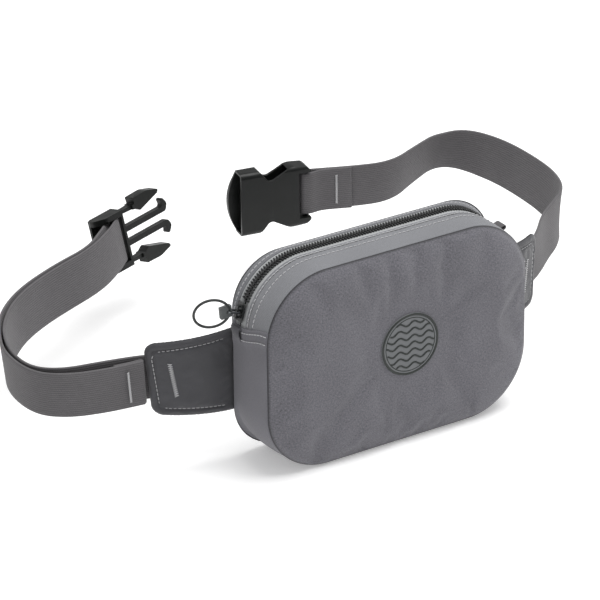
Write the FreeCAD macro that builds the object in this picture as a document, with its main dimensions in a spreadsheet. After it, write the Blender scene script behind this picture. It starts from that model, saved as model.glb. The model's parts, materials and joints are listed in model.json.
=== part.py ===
import FreeCAD, Part
import math
import os

import Sketcher
from FreeCAD import Placement, Rotation, Vector

# Zip-top belt bag, millimetres.  +X is to the right seen from the front, +Y points from the front
# panel to the back panel, +Z is up.  The origin is the middle of the flat underside.
# The belt leaves the back corners on two padded wings and curls back behind the bag.

SIZES = {
    # bag shell
    "bag_width": 200.0,
    "bag_height": 140.0,
    "bag_depth": 46.0,
    "bag_corner": 45.0,
    "cloth": 1.5,
    "crown_rise": 5.0,
    "crown_inset": 14.0,
    "pad_thickness": 3.0,
    "pad_inset": 9.0,
    "hem_height": "=bag_height - bag_corner + 4",
    "binding_width": 5.2,
    "binding_thickness": 1.2,
    # zip
    "zip_from_back": 11.0,
    "rear_tape_hidden": 3.0,
    "band_to_zip": 6.0,
    "tape_under_band": 4.0,
    "tape_thickness": 0.8,
    "chain_gap": 1.4,
    "tooth_width": 2.7,
    "tooth_thickness": 1.8,
    "slider_start": 16.5,
    "slider_length": 12.5,
    "slider_width": 8.0,
    "slider_plate": 1.3,
    "slider_web": 0.8,
    "slider_play": 0.3,
    "bridge_gap": 1.7,
    "bridge_width": 2.4,
    "link_wire": 1.4,
    "link_length": 9.0,
    "loop_diameter": 25.0,
    "loop_wire": 1.8,
    "loop_tilt": 14.5,
    "loop_yaw": 22.3,
    "loop_droop": 21.5,
    "sleeve_length": 8.0,
    "tab_width": 9.0,
    "tab_thickness": 3.0,
    "tab_length": 8.0,
    "tab_angle": 24.0,
    # emblem patch
    "patch_diameter": 44.0,
    "patch_base": 1.0,
    "patch_rim_width": 1.6,
    "patch_rim_height": 0.6,
    "patch_side": 4.0,
    "patch_height": 73.0,
    # wings and belt
    "wing_length": 54.9,
    "wing_root_height": 59.0,
    "wing_end_height": 51.0,
    "wing_thickness": 4.0,
    "wing_turn": 37.1,
    "wing_corner": 9.0,
    "wing_gap": 0.8,
    "wing_clear": 0.3,
    "belt_width": 32.0,
    "belt_thickness": 2.0,
    "belt_height": 61.0,
    "belt_on_wing": 20.0,
    "hem_length": 20.0,
    "loop_run": 22.0,
    "tack_thickness": 0.6,
    "tack_length": 26.0,
    "tack_width": 3.0,
    # buckle
    "buckle_heading": 16.5,
    "buckle_pitch": 3.5,
    "buckle_lean": 12.0,
    "socket_heading": -9.9,
    "frame_width": "=belt_width + 9",
    "frame_rail": 4.0,
    "frame_front": 2.0,
    "frame_length": 24.0,
    "frame_depth_inner": 4.0,
    "hood_gap": 5.4,
    "hood_thickness": 2.0,
    "hood_length": 14.0,
    "bar_radius": 1.7,
    "bar_back": 7.5,
    "bar_play": 0.5,
    "guide_reach": 43.5,
    "guide_width": 4.0,
    "guide_spread": 3.2,
    "guide_thickness": 4.6,
    "latch_root": "=belt_width / 2 + 2.1",
    "latch_arm": 2.4,
    "latch_thickness": 8.0,
    "latch_gap": 0.3,
    "barb_reach": "=belt_width / 2 + 8.3",
    "barb_place": 12.0,
    "latch_reach": 37.0,
    "socket_width": "=belt_width + 16.4",
    "socket_wall": 2.0,
    "socket_play": 0.6,
    "socket_length": 53.0,
    "socket_depth": 42.0,
    "lip_bow": 6.0,
    "window_start": 14.0,
    "window_end": 38.0,
    "window_deep": 9.5,
}

doc = FreeCAD.newDocument("belt_bag")
sheet = doc.addObject("Spreadsheet::Sheet", "Sizes")
for row, (alias, value) in enumerate(SIZES.items(), start=1):
    sheet.set(f"A{row}", alias)
    sheet.set(f"B{row}", str(value))
    sheet.setAlias(f"B{row}", alias)
doc.recompute()

PARTS = []


def size(alias):
    """Read one size back from the sheet."""
    return float(getattr(sheet, alias))


def cells(text):
    """Turn the plain names in an expression into references to the sheet."""
    words = text.replace("(", " ( ").replace(")", " ) ").split()
    return " ".join(f"Sizes.{word}" if word in SIZES else word for word in words)


def worked(text):
    """Work out an expression written in the sheet's names."""
    value = sheet.evalExpression(cells(text))
    return float(getattr(value, "Value", value))


def bind(thing, path, text):
    """Bind one property of an object to the sheet."""
    thing.setExpression(path, cells(text))


def keep(thing, label):
    """Name a finished sub-part; the label is also its file's name."""
    thing.Label = label
    PARTS.append(thing)
    return thing


def plane(body, role):
    """Find one of a body's own origin planes."""
    return next(item for item in body.Origin.OriginFeatures if item.Role == role)


def sketch_on(body, name, role, offset):
    """Start a sketch on a body's own plane, moved along the plane's normal."""
    sketch = body.newObject("Sketcher::SketchObject", name)
    sketch.AttachmentSupport = [(plane(body, role), "")]
    sketch.MapMode = "FlatFace"
    bind(sketch, ".AttachmentOffset.Base.z", offset)
    return sketch


def limit(sketch, constraint, text):
    """Add one dimension to a sketch and bind it to the sheet."""
    index = sketch.addConstraint(constraint)
    bind(sketch, f"Constraints[{index}]", text)


def rounded_rectangle(sketch, width, height, corner, bottom):
    """Draw a rectangle with four equal round corners, centred on the vertical axis."""
    wide = worked(width) / 2
    tall = worked(height)
    round_off = worked(corner)
    low = worked(bottom)
    top = low + tall
    first = sketch.GeometryCount
    flat = wide - round_off
    lines = [
        ((-flat, top), (flat, top)),
        ((wide, top - round_off), (wide, low + round_off)),
        ((flat, low), (-flat, low)),
        ((-wide, low + round_off), (-wide, top - round_off)),
    ]
    for start, end in lines:
        sketch.addGeometry(Part.LineSegment(Vector(*start, 0), Vector(*end, 0)))
    centres = [
        (flat, top - round_off), (flat, low + round_off),
        (-flat, low + round_off), (-flat, top - round_off),
    ]
    for centre, begin in zip(centres, (0.0, -90.0, 180.0, 90.0)):
        circle = Part.Circle(Vector(*centre, 0), Vector(0, 0, 1), round_off)
        sketch.addGeometry(Part.ArcOfCircle(circle, math.radians(begin), math.radians(begin + 90.0)))
    upper, right, lower, left, top_right, low_right, low_left, top_left = range(first, first + 8)
    joints = [
        (upper, 2, top_right, 2), (top_right, 1, right, 1),
        (right, 2, low_right, 2), (low_right, 1, lower, 1),
        (lower, 2, low_left, 2), (low_left, 1, left, 1), (left, 2, top_left, 2), (top_left, 1, upper, 1),
    ]
    for joint in joints:
        sketch.addConstraint(Sketcher.Constraint("Tangent", *joint))
    for line in (upper, lower):
        sketch.addConstraint(Sketcher.Constraint("Horizontal", line))
    for line in (left, right):
        sketch.addConstraint(Sketcher.Constraint("Vertical", line))
    for arc in (low_right, low_left, top_left):
        sketch.addConstraint(Sketcher.Constraint("Equal", top_right, arc))
    limit(sketch, Sketcher.Constraint("Radius", top_right, round_off), corner)
    limit(sketch, Sketcher.Constraint("DistanceX", left, 1, right, 2, 2 * wide), width)
    limit(sketch, Sketcher.Constraint("DistanceY", lower, 1, upper, 1, tall), height)
    limit(sketch, Sketcher.Constraint("DistanceX", -1, 1, right, 2, wide), f"( {width} ) / 2")
    limit(sketch, Sketcher.Constraint("DistanceY", -1, 1, lower, 1, low), bottom)


def plain_rectangle(sketch, width, low, high):
    """Draw a sharp rectangle centred on the vertical axis, from one height to another."""
    half = worked(width) / 2
    bottom = worked(low)
    top = worked(high)
    corners = [(-half, bottom), (half, bottom), (half, top), (-half, top)]
    for index, start in enumerate(corners):
        end = corners[(index + 1) % 4]
        sketch.addGeometry(Part.LineSegment(Vector(*start, 0), Vector(*end, 0)))
    for index in range(4):
        sketch.addConstraint(Sketcher.Constraint("Coincident", index, 2, (index + 1) % 4, 1))
    for line in (0, 2):
        sketch.addConstraint(Sketcher.Constraint("Horizontal", line))
    for line in (1, 3):
        sketch.addConstraint(Sketcher.Constraint("Vertical", line))
    limit(sketch, Sketcher.Constraint("DistanceX", 0, 1, 0, 2, 2 * half), width)
    limit(sketch, Sketcher.Constraint("DistanceX", -1, 1, 0, 2, half), f"( {width} ) / 2")
    limit(sketch, Sketcher.Constraint("DistanceY", -1, 1, 0, 1, bottom), low)
    limit(sketch, Sketcher.Constraint("DistanceY", 1, 1, 1, 2, top - bottom), f"( {high} ) - ( {low} )")


def pad(body, name, sketch, length):
    """Pad a sketch along its normal."""
    feature = body.newObject("PartDesign::Pad", name)
    feature.Profile = sketch
    bind(feature, "Length", length)
    sketch.Visibility = False
    body.Tip = feature
    return feature


def slab(label, inset, rear, depth):
    """One flat panel of the bag's outline, drawn in from the outline by an inset."""
    body = doc.addObject("PartDesign::Body", label)
    sketch = sketch_on(body, f"{label}_outline", "XZ_Plane", f"0 - ( {rear} )")
    rounded_rectangle(
        sketch, f"bag_width - 2 * ( {inset} )", f"bag_height - 2 * ( {inset} )",
        f"bag_corner - ( {inset} )", inset,
    )
    pad(body, f"{label}_pad", sketch, depth)
    return keep(body, label)


def hoop(label, inset, thickness, rear, depth, part):
    """One band of the bag's wall: a hoop of the outline, whole or cut at the hem's height."""
    body = doc.addObject("PartDesign::Body", label)
    sketch = sketch_on(body, f"{label}_outline", "XZ_Plane", f"0 - ( {rear} )")
    for side in (inset, f"{inset} + {thickness}"):
        rounded_rectangle(
            sketch, f"bag_width - 2 * ( {side} )", f"bag_height - 2 * ( {side} )",
            f"bag_corner - ( {side} )", side,
        )
    ring = pad(body, f"{label}_pad", sketch, depth)
    if part != "whole":
        doc.recompute()
        whole = ring.Shape.Volume
        trim = sketch_on(body, f"{label}_trim", "XZ_Plane", f"0 - ( {rear} ) - 1")
        low, high = ("hem_height", "bag_height + 5") if part == "below" else ("0 - 5", "hem_height")
        plain_rectangle(trim, "bag_width + 10", low, high)
        cut = body.newObject("PartDesign::Pocket", f"{label}_cut")
        cut.Profile = trim
        cut.Reversed = True
        bind(cut, "Length", f"( {depth} ) + 2")
        trim.Visibility = False
        body.Tip = cut
        doc.recompute()
        assert 0.05 * whole < cut.Shape.Volume < 0.95 * whole, f"{label} was not cut"
    return keep(body, label)


def build_shell():
    """The sewn shell: two panels, the gusset, the zip bands and the bindings inside the seams."""
    front = doc.addObject("PartDesign::Body", "front_panel")
    base = sketch_on(front, "front_seam", "XZ_Plane", "bag_depth / 2 - cloth")
    rounded_rectangle(base, "bag_width", "bag_height", "bag_corner", "0")
    edge = pad(front, "front_edge", base, "cloth")
    doc.recompute()
    seam = sketch_on(front, "crown_foot", "XZ_Plane", "bag_depth / 2")
    rounded_rectangle(seam, "bag_width", "bag_height", "bag_corner", "0")
    crown = sketch_on(front, "crown_top", "XZ_Plane", "bag_depth / 2 + crown_rise")
    rounded_rectangle(
        crown, "bag_width - 2 * crown_inset", "bag_height - 2 * crown_inset",
        "bag_corner - crown_inset", "crown_inset",
    )
    loft = front.newObject("PartDesign::AdditiveLoft", "crown")
    loft.Profile = seam
    loft.Sections = [crown]
    loft.Ruled = True
    front.Tip = loft
    doc.recompute()
    assert loft.Shape.Volume > edge.Shape.Volume, "the crown is missing"
    keep(front, "front_panel")
    slab("back_panel", "0", "bag_depth / 2", "cloth")
    slab("back_pad", "pad_inset", "bag_depth / 2 - cloth", "pad_thickness")
    hoop("lower_gusset", "0", "cloth", "bag_depth / 2 - cloth", "bag_depth - 2 * cloth", "below")
    zip_line = "bag_depth / 2 - zip_from_back"
    hoop(
        "front_zip_band", "0", "cloth", f"{zip_line} - band_to_zip",
        f"{zip_line} - band_to_zip + bag_depth / 2 - cloth", "above",
    )
    hoop(
        "rear_zip_band", "0", "cloth", "bag_depth / 2 - cloth",
        "zip_from_back - band_to_zip - cloth", "above",
    )
    inside = "cloth"
    tape_depth = "band_to_zip + tape_under_band - chain_gap / 2"
    hoop("zip_tape_front", inside, "tape_thickness", f"{zip_line} - chain_gap / 2", tape_depth, "above")
    hoop(
        "zip_tape_rear", inside, "tape_thickness", f"{zip_line} + band_to_zip + rear_tape_hidden",
        "band_to_zip + rear_tape_hidden - chain_gap / 2", "above",
    )
    hoop(
        "zip_chain_front", "cloth - tooth_thickness", "tooth_thickness",
        f"{zip_line} - chain_gap / 2", "tooth_width", "above",
    )
    hoop(
        "zip_chain_rear", "cloth - tooth_thickness", "tooth_thickness",
        f"{zip_line} + chain_gap / 2 + tooth_width", "tooth_width", "above",
    )
    rears = {"front": "binding_width - bag_depth / 2 + cloth", "rear": "bag_depth / 2 - cloth"}
    for end, rear in rears.items():
        hoop(f"{end}_binding", "cloth + tape_thickness", "binding_thickness", rear, "binding_width", "whole")


def build_patch():
    """The round emblem: a thin disc with a raised rim and one raised ring inside it."""
    body = doc.addObject("PartDesign::Body", "emblem_patch")
    face = "bag_depth / 2 + crown_rise"
    rings = [
        ("disc", face, "patch_diameter", None, "patch_base"),
        ("rim", f"{face} + patch_base", "patch_diameter",
         "patch_diameter - 2 * patch_rim_width", "patch_rim_height"),
    ]
    for name, offset, outer, inner, height in rings:
        sketch = sketch_on(body, f"patch_{name}", "XZ_Plane", offset)
        for index, diameter in enumerate(item for item in (outer, inner) if item):
            centre = Vector(worked("patch_side"), worked("patch_height"), 0)
            sketch.addGeometry(Part.Circle(centre, Vector(0, 0, 1), worked(diameter) / 2))
            limit(sketch, Sketcher.Constraint("Diameter", index, worked(diameter)), diameter)
            limit(sketch, Sketcher.Constraint("DistanceX", -1, 1, index, 3, centre.x), "patch_side")
            limit(sketch, Sketcher.Constraint("DistanceY", -1, 1, index, 3, centre.y), "patch_height")
        pad(body, f"patch_{name}_pad", sketch, height)
    keep(body, "emblem_patch")


def box(name, length, width, height, corner):
    """A Part box whose three sizes and low corner are bound to the sheet."""
    block = doc.addObject("Part::Box", name)
    for prop, text in (("Length", length), ("Width", width), ("Height", height)):
        bind(block, prop, text)
    for axis, text in zip("xyz", corner):
        bind(block, f".Placement.Base.{axis}", text)
    return block


def join(label, pieces, placement):
    """Fuse simple pieces into one sub-part and place it."""
    fuse = doc.addObject("Part::MultiFuse", label)
    fuse.Shapes = pieces
    fuse.Refine = True
    fuse.Placement = placement
    return keep(fuse, label)


def solid(label, shape, placement=None):
    """A sub-part whose shape is worked out here, placed after its shape is set."""
    feature = doc.addObject("Part::Feature", label)
    feature.Shape = shape
    if placement is not None:
        feature.Placement = placement
    return keep(feature, label)


def zip_axis():
    """The middle of the left corner's round, on the zip's line: the slider turns about it."""
    corner = size("bag_corner")
    return Vector(corner - size("bag_width") / 2, size("bag_depth") / 2 - size("zip_from_back"),
                  size("bag_height") - corner)


def slider_placement():
    """The slider is drawn at the top of the corner and turned down to where it is parked."""
    return Placement(zip_axis(), Rotation(Vector(0, 1, 0), size("slider_start") - 90))


def build_slider():
    """Slider: two plates and a web between the chain's halves, with a bridge for the link."""
    over = "( bag_corner + tooth_thickness - cloth + slider_play )"
    under = "( bag_corner - cloth - tape_thickness - 2 * slider_play )"
    top = f"( {over} + slider_plate )"
    half = "slider_length / 2"
    post = "slider_plate"
    blocks = [
        box("slider_top", "slider_length", "slider_width", "slider_plate",
            (f"0 - {half}", "0 - slider_width / 2", over)),
        box("slider_bottom", "slider_length", "slider_width", "slider_plate",
            (f"0 - {half}", "0 - slider_width / 2", f"{under} - slider_plate")),
        box("slider_web", "slider_length / 4", "slider_web", f"{over} - {under}",
            ("0 - slider_length / 8", "0 - slider_web / 2", under)),
        box("bridge_bar", f"{half} + 2 * {post}", "bridge_width", "slider_plate",
            (f"0 - slider_length / 4 - {post}", "0 - bridge_width / 2", f"{top} + bridge_gap")),
    ]
    places = {"bridge_front": f"0 - slider_length / 4 - {post}", "bridge_back": "slider_length / 4"}
    for name, place in places.items():
        blocks.append(box(name, post, "bridge_width", "bridge_gap", (place, "0 - bridge_width / 2", top)))
    join("zip_slider", blocks, slider_placement())


def bridge_height():
    """Distance from the corner's middle to the link's inner bar, half way up the bridge's gap."""
    return worked("bag_corner + tooth_thickness - cloth + slider_play + slider_plate + bridge_gap / 2")


def rounded_loop(width, length, corner, wire):
    """A closed wire link: a rounded rectangle from the origin outwards along Z, swept with a round."""
    half = width / 2
    corners = [(-half, 0), (half, 0), (half, length), (-half, length)]
    edges = []
    for index, (across, along) in enumerate(corners):
        before = Vector(0, *corners[index - 1])
        here = Vector(0, across, along)
        after = Vector(0, *corners[(index + 1) % 4])
        start = here + (before - here).normalize() * corner
        end = here + (after - here).normalize() * corner
        centre = start + end - here
        middle = centre + (here - centre).normalize() * corner
        edges.append(Part.Arc(start, middle, end).toShape())
        following = after + (here - after).normalize() * corner
        edges.append(Part.LineSegment(end, following).toShape())
    path = Part.Wire(edges)
    begin = edges[1].valueAt(edges[1].FirstParameter)
    ahead = edges[1].tangentAt(edges[1].FirstParameter)
    profile = Part.Wire([Part.makeCircle(wire / 2, begin, ahead)])
    return path.makePipeShell([profile], True, False)


def build_pull():
    """Pull: a wire link on the slider's bridge, a thin cord loop through it and a flat sleeve."""
    wire = size("link_wire")
    across = size("bridge_width") + 2 * size("slider_play") * 2 + wire
    outer = size("link_length")
    link = rounded_loop(across, outer, 1.2, wire)
    parked = slider_placement()
    at_bridge = parked.multiply(Placement(Vector(0, 0, bridge_height()), Rotation()))
    solid("pull_link", link, at_bridge)
    # the loop is drawn about the link's outer bar, which it swings round
    droop = Rotation(Vector(0, 1, 0), -size("loop_droop"))
    at_bar = at_bridge.multiply(Placement(Vector(0, 0, outer), droop))
    radius = (size("loop_diameter") - size("loop_wire")) / 2
    reach = radius - (wire + size("loop_wire")) / 2 - 0.1
    tilt = math.radians(size("loop_tilt"))
    yaw = Rotation(Vector(1, 0, 0), -size("loop_yaw"))
    axis = yaw.multVec(Vector(math.sin(tilt), math.cos(tilt), 0))
    middle = yaw.multVec(Vector(0, 0, reach))
    ring, bore = (Part.makeTorus(radius, size("loop_wire") / 2 + spare, middle, axis)
                  for spare in (0, 0.02))
    solid("pull_cord", ring, at_bar)
    inward = radius - reach + size("loop_wire") / 2 + 0.4
    thick = across - wire - 2 * size("slider_play")
    length = size("sleeve_length")
    tab = Part.makeBox(length, thick, inward + 5.0, Vector(-length / 2, -thick / 2, -inward))
    reach = wire / 2 + size("slider_play")
    eye = Part.makeCylinder(reach, 2 * thick, Vector(0, -thick, 0), Vector(0, 1, 0))
    solid("pull_sleeve", tab.cut(eye).cut(bore), at_bar)


def build_zip_ends():
    """A folded tab closes each end of the chain, on the outside of the gusset."""
    left = box("zip_end_tab_left", "tab_thickness", "tab_width", "tab_length", (
        "0 - bag_width / 2 - tab_thickness", "bag_depth / 2 - zip_from_back - tab_width / 2",
        "hem_height - tab_length",
    ))
    keep(left, "zip_end_tab_left")
    corner = Vector(0.4, -size("tab_width") / 2, -size("tab_thickness") / 2)
    right = Part.makeBox(size("tab_length"), size("tab_width"), size("tab_thickness"), corner)
    angle = size("tab_angle")
    middle = zip_axis()
    foot = Vector(-middle.x, middle.y, middle.z)
    turn = Rotation(Vector(0, 1, 0), -angle)
    face = size("bag_corner") + size("tooth_thickness") - size("cloth")
    solid("zip_end_tab_right", right, Placement(foot + turn.multVec(Vector(face, 0, 0)), turn))


def corner_run(points, radii, closed=False):
    """Straight runs joined by arcs: the list of (kind, data) pieces of a route or an outline."""
    pieces = []
    here = None
    count = len(points)
    corners = range(count) if closed else range(1, count - 1)
    tangents = []
    for index in corners:
        point = Vector(*points[index], 0)
        back = (Vector(*points[index - 1], 0) - point).normalize()
        ahead = (Vector(*points[(index + 1) % count], 0) - point).normalize()
        radius = radii[index if closed else index - 1]
        half = back.getAngle(ahead) / 2
        reach = radius / math.tan(half)
        centre = point + (back + ahead).normalize() * (radius / math.sin(half))
        turn = 1 if (back.cross(ahead)).z < 0 else -1
        tangents.append((point + back * reach, point + ahead * reach, centre, radius, turn))
    if closed:
        here = tangents[-1][1]
    else:
        here = Vector(*points[0], 0)
    for start, end, centre, radius, turn in tangents:
        if (start - here).Length > 1e-4:
            pieces.append(("line", here, start))
        if radius > 1e-6:
            pieces.append(("arc", start, end, centre, radius, turn))
        here = end
    if not closed:
        pieces.append(("line", here, Vector(*points[-1], 0)))
    return pieces


def beside(pieces, offset):
    """The edges of a route moved sideways by an offset, to the left of travel if it is positive."""
    edges = []
    for piece in pieces:
        if piece[0] == "line":
            _, start, end = piece
            along = (end - start).normalize()
            aside = Vector(-along.y, along.x, 0) * offset
            edges.append(Part.LineSegment(start + aside, end + aside).toShape())
            continue
        _, start, end, centre, radius, turn = piece
        moved = radius - turn * offset
        middle = (start + end) * 0.5 - centre
        spots = [centre + (spot - centre).normalize() * moved for spot in (start, centre + middle, end)]
        edges.append(Part.Arc(*spots).toShape())
    return edges


def strip(points, radii, thickness, width, low):
    """Webbing on edge: a strip of one thickness along a route, standing up to its width."""
    pieces = corner_run(points, radii)
    left = beside(pieces, thickness / 2)
    right = beside(pieces, -thickness / 2)
    ends = []
    for index, side in ((0, "FirstParameter"), (-1, "LastParameter")):
        spots = [edge.valueAt(getattr(edge, side)) for edge in (left[index], right[index])]
        ends.append(Part.LineSegment(*spots).toShape())
    outline = Part.Wire(Part.__sortEdges__(left + right + ends))
    body = Part.Face(outline).extrude(Vector(0, 0, width))
    body.translate(Vector(0, 0, low))
    return body


def outline_face(points, radii):
    """A face bounded by straight sides and round corners."""
    return Part.Face(Part.Wire(beside(corner_run(points, radii, closed=True), 0.0)))


def wing_radius():
    """Radius of the wing's curve round the wearer."""
    return size("wing_length") / math.radians(size("wing_turn"))


def wing_root():
    """Plan position of the left wing's root, on the middle of its thickness."""
    return Vector(-size("wing_clear") - size("bag_width") / 2,
                  size("bag_depth") / 2 + size("wing_gap") + size("wing_thickness") / 2, 0)


def on_wing(length, off):
    """A point on the left wing: a length from its root, off its middle towards the wearer."""
    turn = math.radians(size("wing_turn")) * length / size("wing_length")
    radius = wing_radius() - off
    centre = wing_root() + Vector(0, wing_radius(), 0)
    return centre + Vector(-math.sin(turn) * radius, -math.cos(turn) * radius, 0)


def build_wings():
    """Each wing is a padded tab: a curved slab trimmed to its rounded side view."""
    half = size("wing_thickness") / 2
    whole = size("wing_length")
    low = size("belt_height") - size("wing_root_height") / 2
    outer = [on_wing(part * whole, -half) for part in (0, 0.5, 1)]
    inner = [on_wing(part * whole, half) for part in (1, 0.5, 0)]
    edges = [Part.Arc(*outer).toShape(), Part.LineSegment(outer[2], inner[0]).toShape(),
             Part.Arc(*inner).toShape(), Part.LineSegment(inner[2], outer[0]).toShape()]
    plan = Part.Face(Part.Wire(edges)).extrude(Vector(0, 0, size("wing_root_height")))
    plan.translate(Vector(0, 0, low))
    root = wing_root().x + 1
    end = outer[2].x - 0.01
    middle = size("belt_height")
    tall = size("wing_root_height") / 2
    short = size("wing_end_height") / 2
    corner = size("wing_corner")
    side = outline_face(
        [(root, middle - tall), (root, middle + tall), (end, middle + short), (end, middle - short)],
        [0.0, 0.0, corner, corner],
    )
    side.rotate(Vector(0, 0, 0), Vector(1, 0, 0), 90)
    left = plan.common(side.extrude(Vector(0, 2 * size("bag_width"), 0)))
    solid("wing_left", left.Solids[0])
    tack = tack_on_wing()
    solid("wing_tack_left", tack)
    for label, shape in (("wing_right", left.Solids[0]), ("wing_tack_right", tack)):
        solid(label, shape.mirror(Vector(0, 0, 0), Vector(1, 0, 0)))


def tack_on_wing():
    """The zigzag tack that holds the webbing, sewn through the wing."""
    along = size("wing_length") - size("belt_on_wing") / 2 - size("tack_width")
    foot = on_wing(along, -size("wing_thickness") / 2 - 0.05)
    turn = size("wing_turn") * along / size("wing_length")
    block = Part.makeBox(size("tack_width"), size("tack_thickness"), size("tack_length"))
    block.translate(Vector(-size("tack_width") / 2, -size("tack_thickness"), -size("tack_length") / 2))
    block.rotate(Vector(0, 0, 0), Vector(0, 0, 1), -turn)
    block.translate(foot + Vector(0, 0, size("belt_height")))
    return block


# Belt routes, seen from above, as steps from the end of the wing that each belt leaves.
# The left webbing runs out to the buckle's bar, turns round it and comes back outside itself.
LEFT_OUT = [(0.4, 4.0), (-64.6, 9.3), (-65.6, 84.3), (1.4, 149.3), (57.4, 160.3)]
LEFT_OUT_ROUNDS = [50.0, 42.0, 60.0, 60.0, 50.0]
LEFT_BACK = [(-2.1, 156.8), (-73.6, 88.3), (-73.6, -0.7), (-3.6, -2.7)]
LEFT_BACK_ROUNDS = [44.0, 66.0, 62.0, 44.0]
BUCKLE_FRONT = (93.8, 193.7)
RIGHT_OUT = [(44.6, 30.3), (84.6, 81.3), (84.6, 207.3), (-5.4, 163.3)]
RIGHT_OUT_ROUNDS = [90.0, 75.0, 24.0, 60.0]
SOCKET_BAR = (-65.2, 187.4)


def wing_end(side):
    """Plan position of a wing's end; side is -1 for the left and 1 for the right."""
    end = on_wing(size("wing_length"), 0)
    return Vector(-side * end.x, end.y, 0)


def steps(side, offsets):
    """Turn steps from a wing's end into plan points."""
    end = wing_end(side)
    return [(end.x + across, end.y + away) for across, away in offsets]


def belt_start(side):
    """Where a belt starts, lying on the wing's inner face."""
    lying = size("wing_thickness") / 2 + size("belt_thickness") / 2 + 0.4
    start = on_wing(size("wing_length") - size("belt_on_wing"), lying)
    return (-side * start.x, start.y)


def buckle_placement():
    """The male half's own frame: X forwards, Y outwards from the wearer, Z along the bars."""
    front = steps(-1, [BUCKLE_FRONT])[0]
    turn = Rotation(Vector(0, 0, 1), size("buckle_heading"))
    turn = turn.multiply(Rotation(Vector(0, 1, 0), -size("buckle_pitch")))
    turn = turn.multiply(Rotation(Vector(1, 0, 0), -size("buckle_lean")))
    return Placement(Vector(front[0], front[1], size("belt_height")), turn)


def socket_placement():
    """The female half's own frame: X from the mouth to its bar, Y outwards, Z along the bar."""
    bar = steps(1, [SOCKET_BAR])[0]
    turn = Rotation(Vector(0, 0, 1), size("socket_heading"))
    mouth = Vector(bar[0], bar[1], size("belt_height")) - turn.multVec(Vector(socket_bar(), 0, 0))
    return Placement(mouth, turn)


def socket_bar():
    """Distance from the mouth to the female half's bar."""
    return size("socket_length") - size("bar_radius") - 0.8


def build_left_belt():
    """Left webbing: out to the bar, round it, and back to a folded and tacked end."""
    thick = size("belt_thickness")
    wide = size("belt_width")
    low = size("belt_height") - wide / 2
    ply = size("bar_radius") + size("bar_play") + thick / 2
    frame = buckle_placement()
    bar = frame.multVec(Vector(-size("bar_back"), 0, 0))
    out = steps(-1, LEFT_OUT)
    towards = (Vector(bar.x, bar.y, 0) - Vector(*out[-1], 0)).normalize()
    aside = Vector(-towards.y, towards.x, 0)
    meet = size("loop_run") - 5
    ends = []
    for side in (-1, 1):
        spot = Vector(bar.x, bar.y, 0) - towards * meet + aside * (side * ply)
        bend = Vector(*out[-1], 0) + aside * (side * ply)
        ends.append(((bend.x, bend.y), (spot.x, spot.y)))
    going = [belt_start(-1)] + out[:-1] + [ends[0][0], ends[0][1]]
    coming = [ends[1][1], ends[1][0]] + steps(-1, LEFT_BACK)
    run_out = strip(going, LEFT_OUT_ROUNDS, thick, wide, low)
    run_back = strip(coming, LEFT_BACK_ROUNDS, thick, wide, low)
    # the turn round the bar leans with the buckle
    local = frame.Rotation.inverted().multVec(towards)
    local = Vector(local.x, local.y, 0).normalize()
    cross = Vector(-local.y, local.x, 0)
    centre = Vector(-size("bar_back"), 0, 0)
    turn = [centre - local * size("loop_run") - cross * ply, centre + local * ply - cross * ply,
            centre + local * ply + cross * ply, centre - local * size("loop_run") + cross * ply]
    loop = strip([(spot.x, spot.y) for spot in turn], [ply - 0.01, ply - 0.01], thick, wide, -wide / 2)
    loop.Placement = frame.multiply(loop.Placement)
    fold = hem(coming[-1], coming[-2], thick, -1)
    whole = run_out.fuse([run_back, loop, strip(fold, [], thick, wide, low)]).removeSplitter()
    solid("belt_left", whole.Solids[0])
    tack = tack_beside(coming[-1], coming[-2], size("hem_length") * 0.6, thick / 2 + 0.05)
    solid("belt_tack_left", tack)


def hem(end, before, thick, side):
    """The folded end of a belt: a short second layer beside the last of its route."""
    along = (Vector(*before, 0) - Vector(*end, 0)).normalize()
    aside = Vector(-along.y, along.x, 0) * (thick * side)
    first = Vector(*end, 0) + aside
    last = first + along * size("hem_length")
    return [(first.x, first.y), (last.x, last.y)]


def tack_beside(end, before, place, off):
    """A straight tack across a belt, on its left face as seen from the belt's end."""
    along = (Vector(*before, 0) - Vector(*end, 0)).normalize()
    aside = Vector(-along.y, along.x, 0)
    block = Part.makeBox(size("tack_width") / 2, size("tack_thickness"), size("tack_length"))
    block.translate(Vector(-size("tack_width") / 4, 0, -size("tack_length") / 2))
    block.rotate(Vector(0, 0, 0), Vector(0, 0, 1), math.degrees(math.atan2(along.y, along.x)))
    spot = Vector(*end, 0) + along * place + aside * off
    block.translate(spot + Vector(0, 0, size("belt_height")))
    return block


def build_right_belt():
    """Right webbing: round to the female half's bar and sewn back against itself."""
    thick = size("belt_thickness")
    wide = size("belt_width")
    low = size("belt_height") - wide / 2
    ply = size("bar_radius") + size("bar_play") + thick / 2
    out = steps(1, RIGHT_OUT)
    bar = Vector(*steps(1, [SOCKET_BAR])[0], 0)
    towards = (bar - Vector(*out[-1], 0)).normalize()
    aside = Vector(-towards.y, towards.x, 0)
    sewn = thick - ply + 0.1

    def about_bar(along, across):
        spot = bar + towards * along + aside * across
        return (spot.x, spot.y)

    last = Vector(*out[-1], 0) - aside * ply
    turn = [about_bar(ply, -ply), about_bar(ply, ply), about_bar(-4, ply),
            about_bar(-14, sewn), about_bar(-14 - size("hem_length"), sewn)]
    route = [belt_start(1)] + out[:-1] + [(last.x, last.y)] + turn
    rounds = RIGHT_OUT_ROUNDS + [ply - 0.01, ply - 0.01, 4.0, 4.0]
    solid("belt_right", strip(route, rounds, thick, wide, low))
    tack = tack_beside(turn[-1], turn[-2], size("hem_length") * 0.55, thick / 2 + 0.05)
    solid("belt_tack_right", tack)


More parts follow.
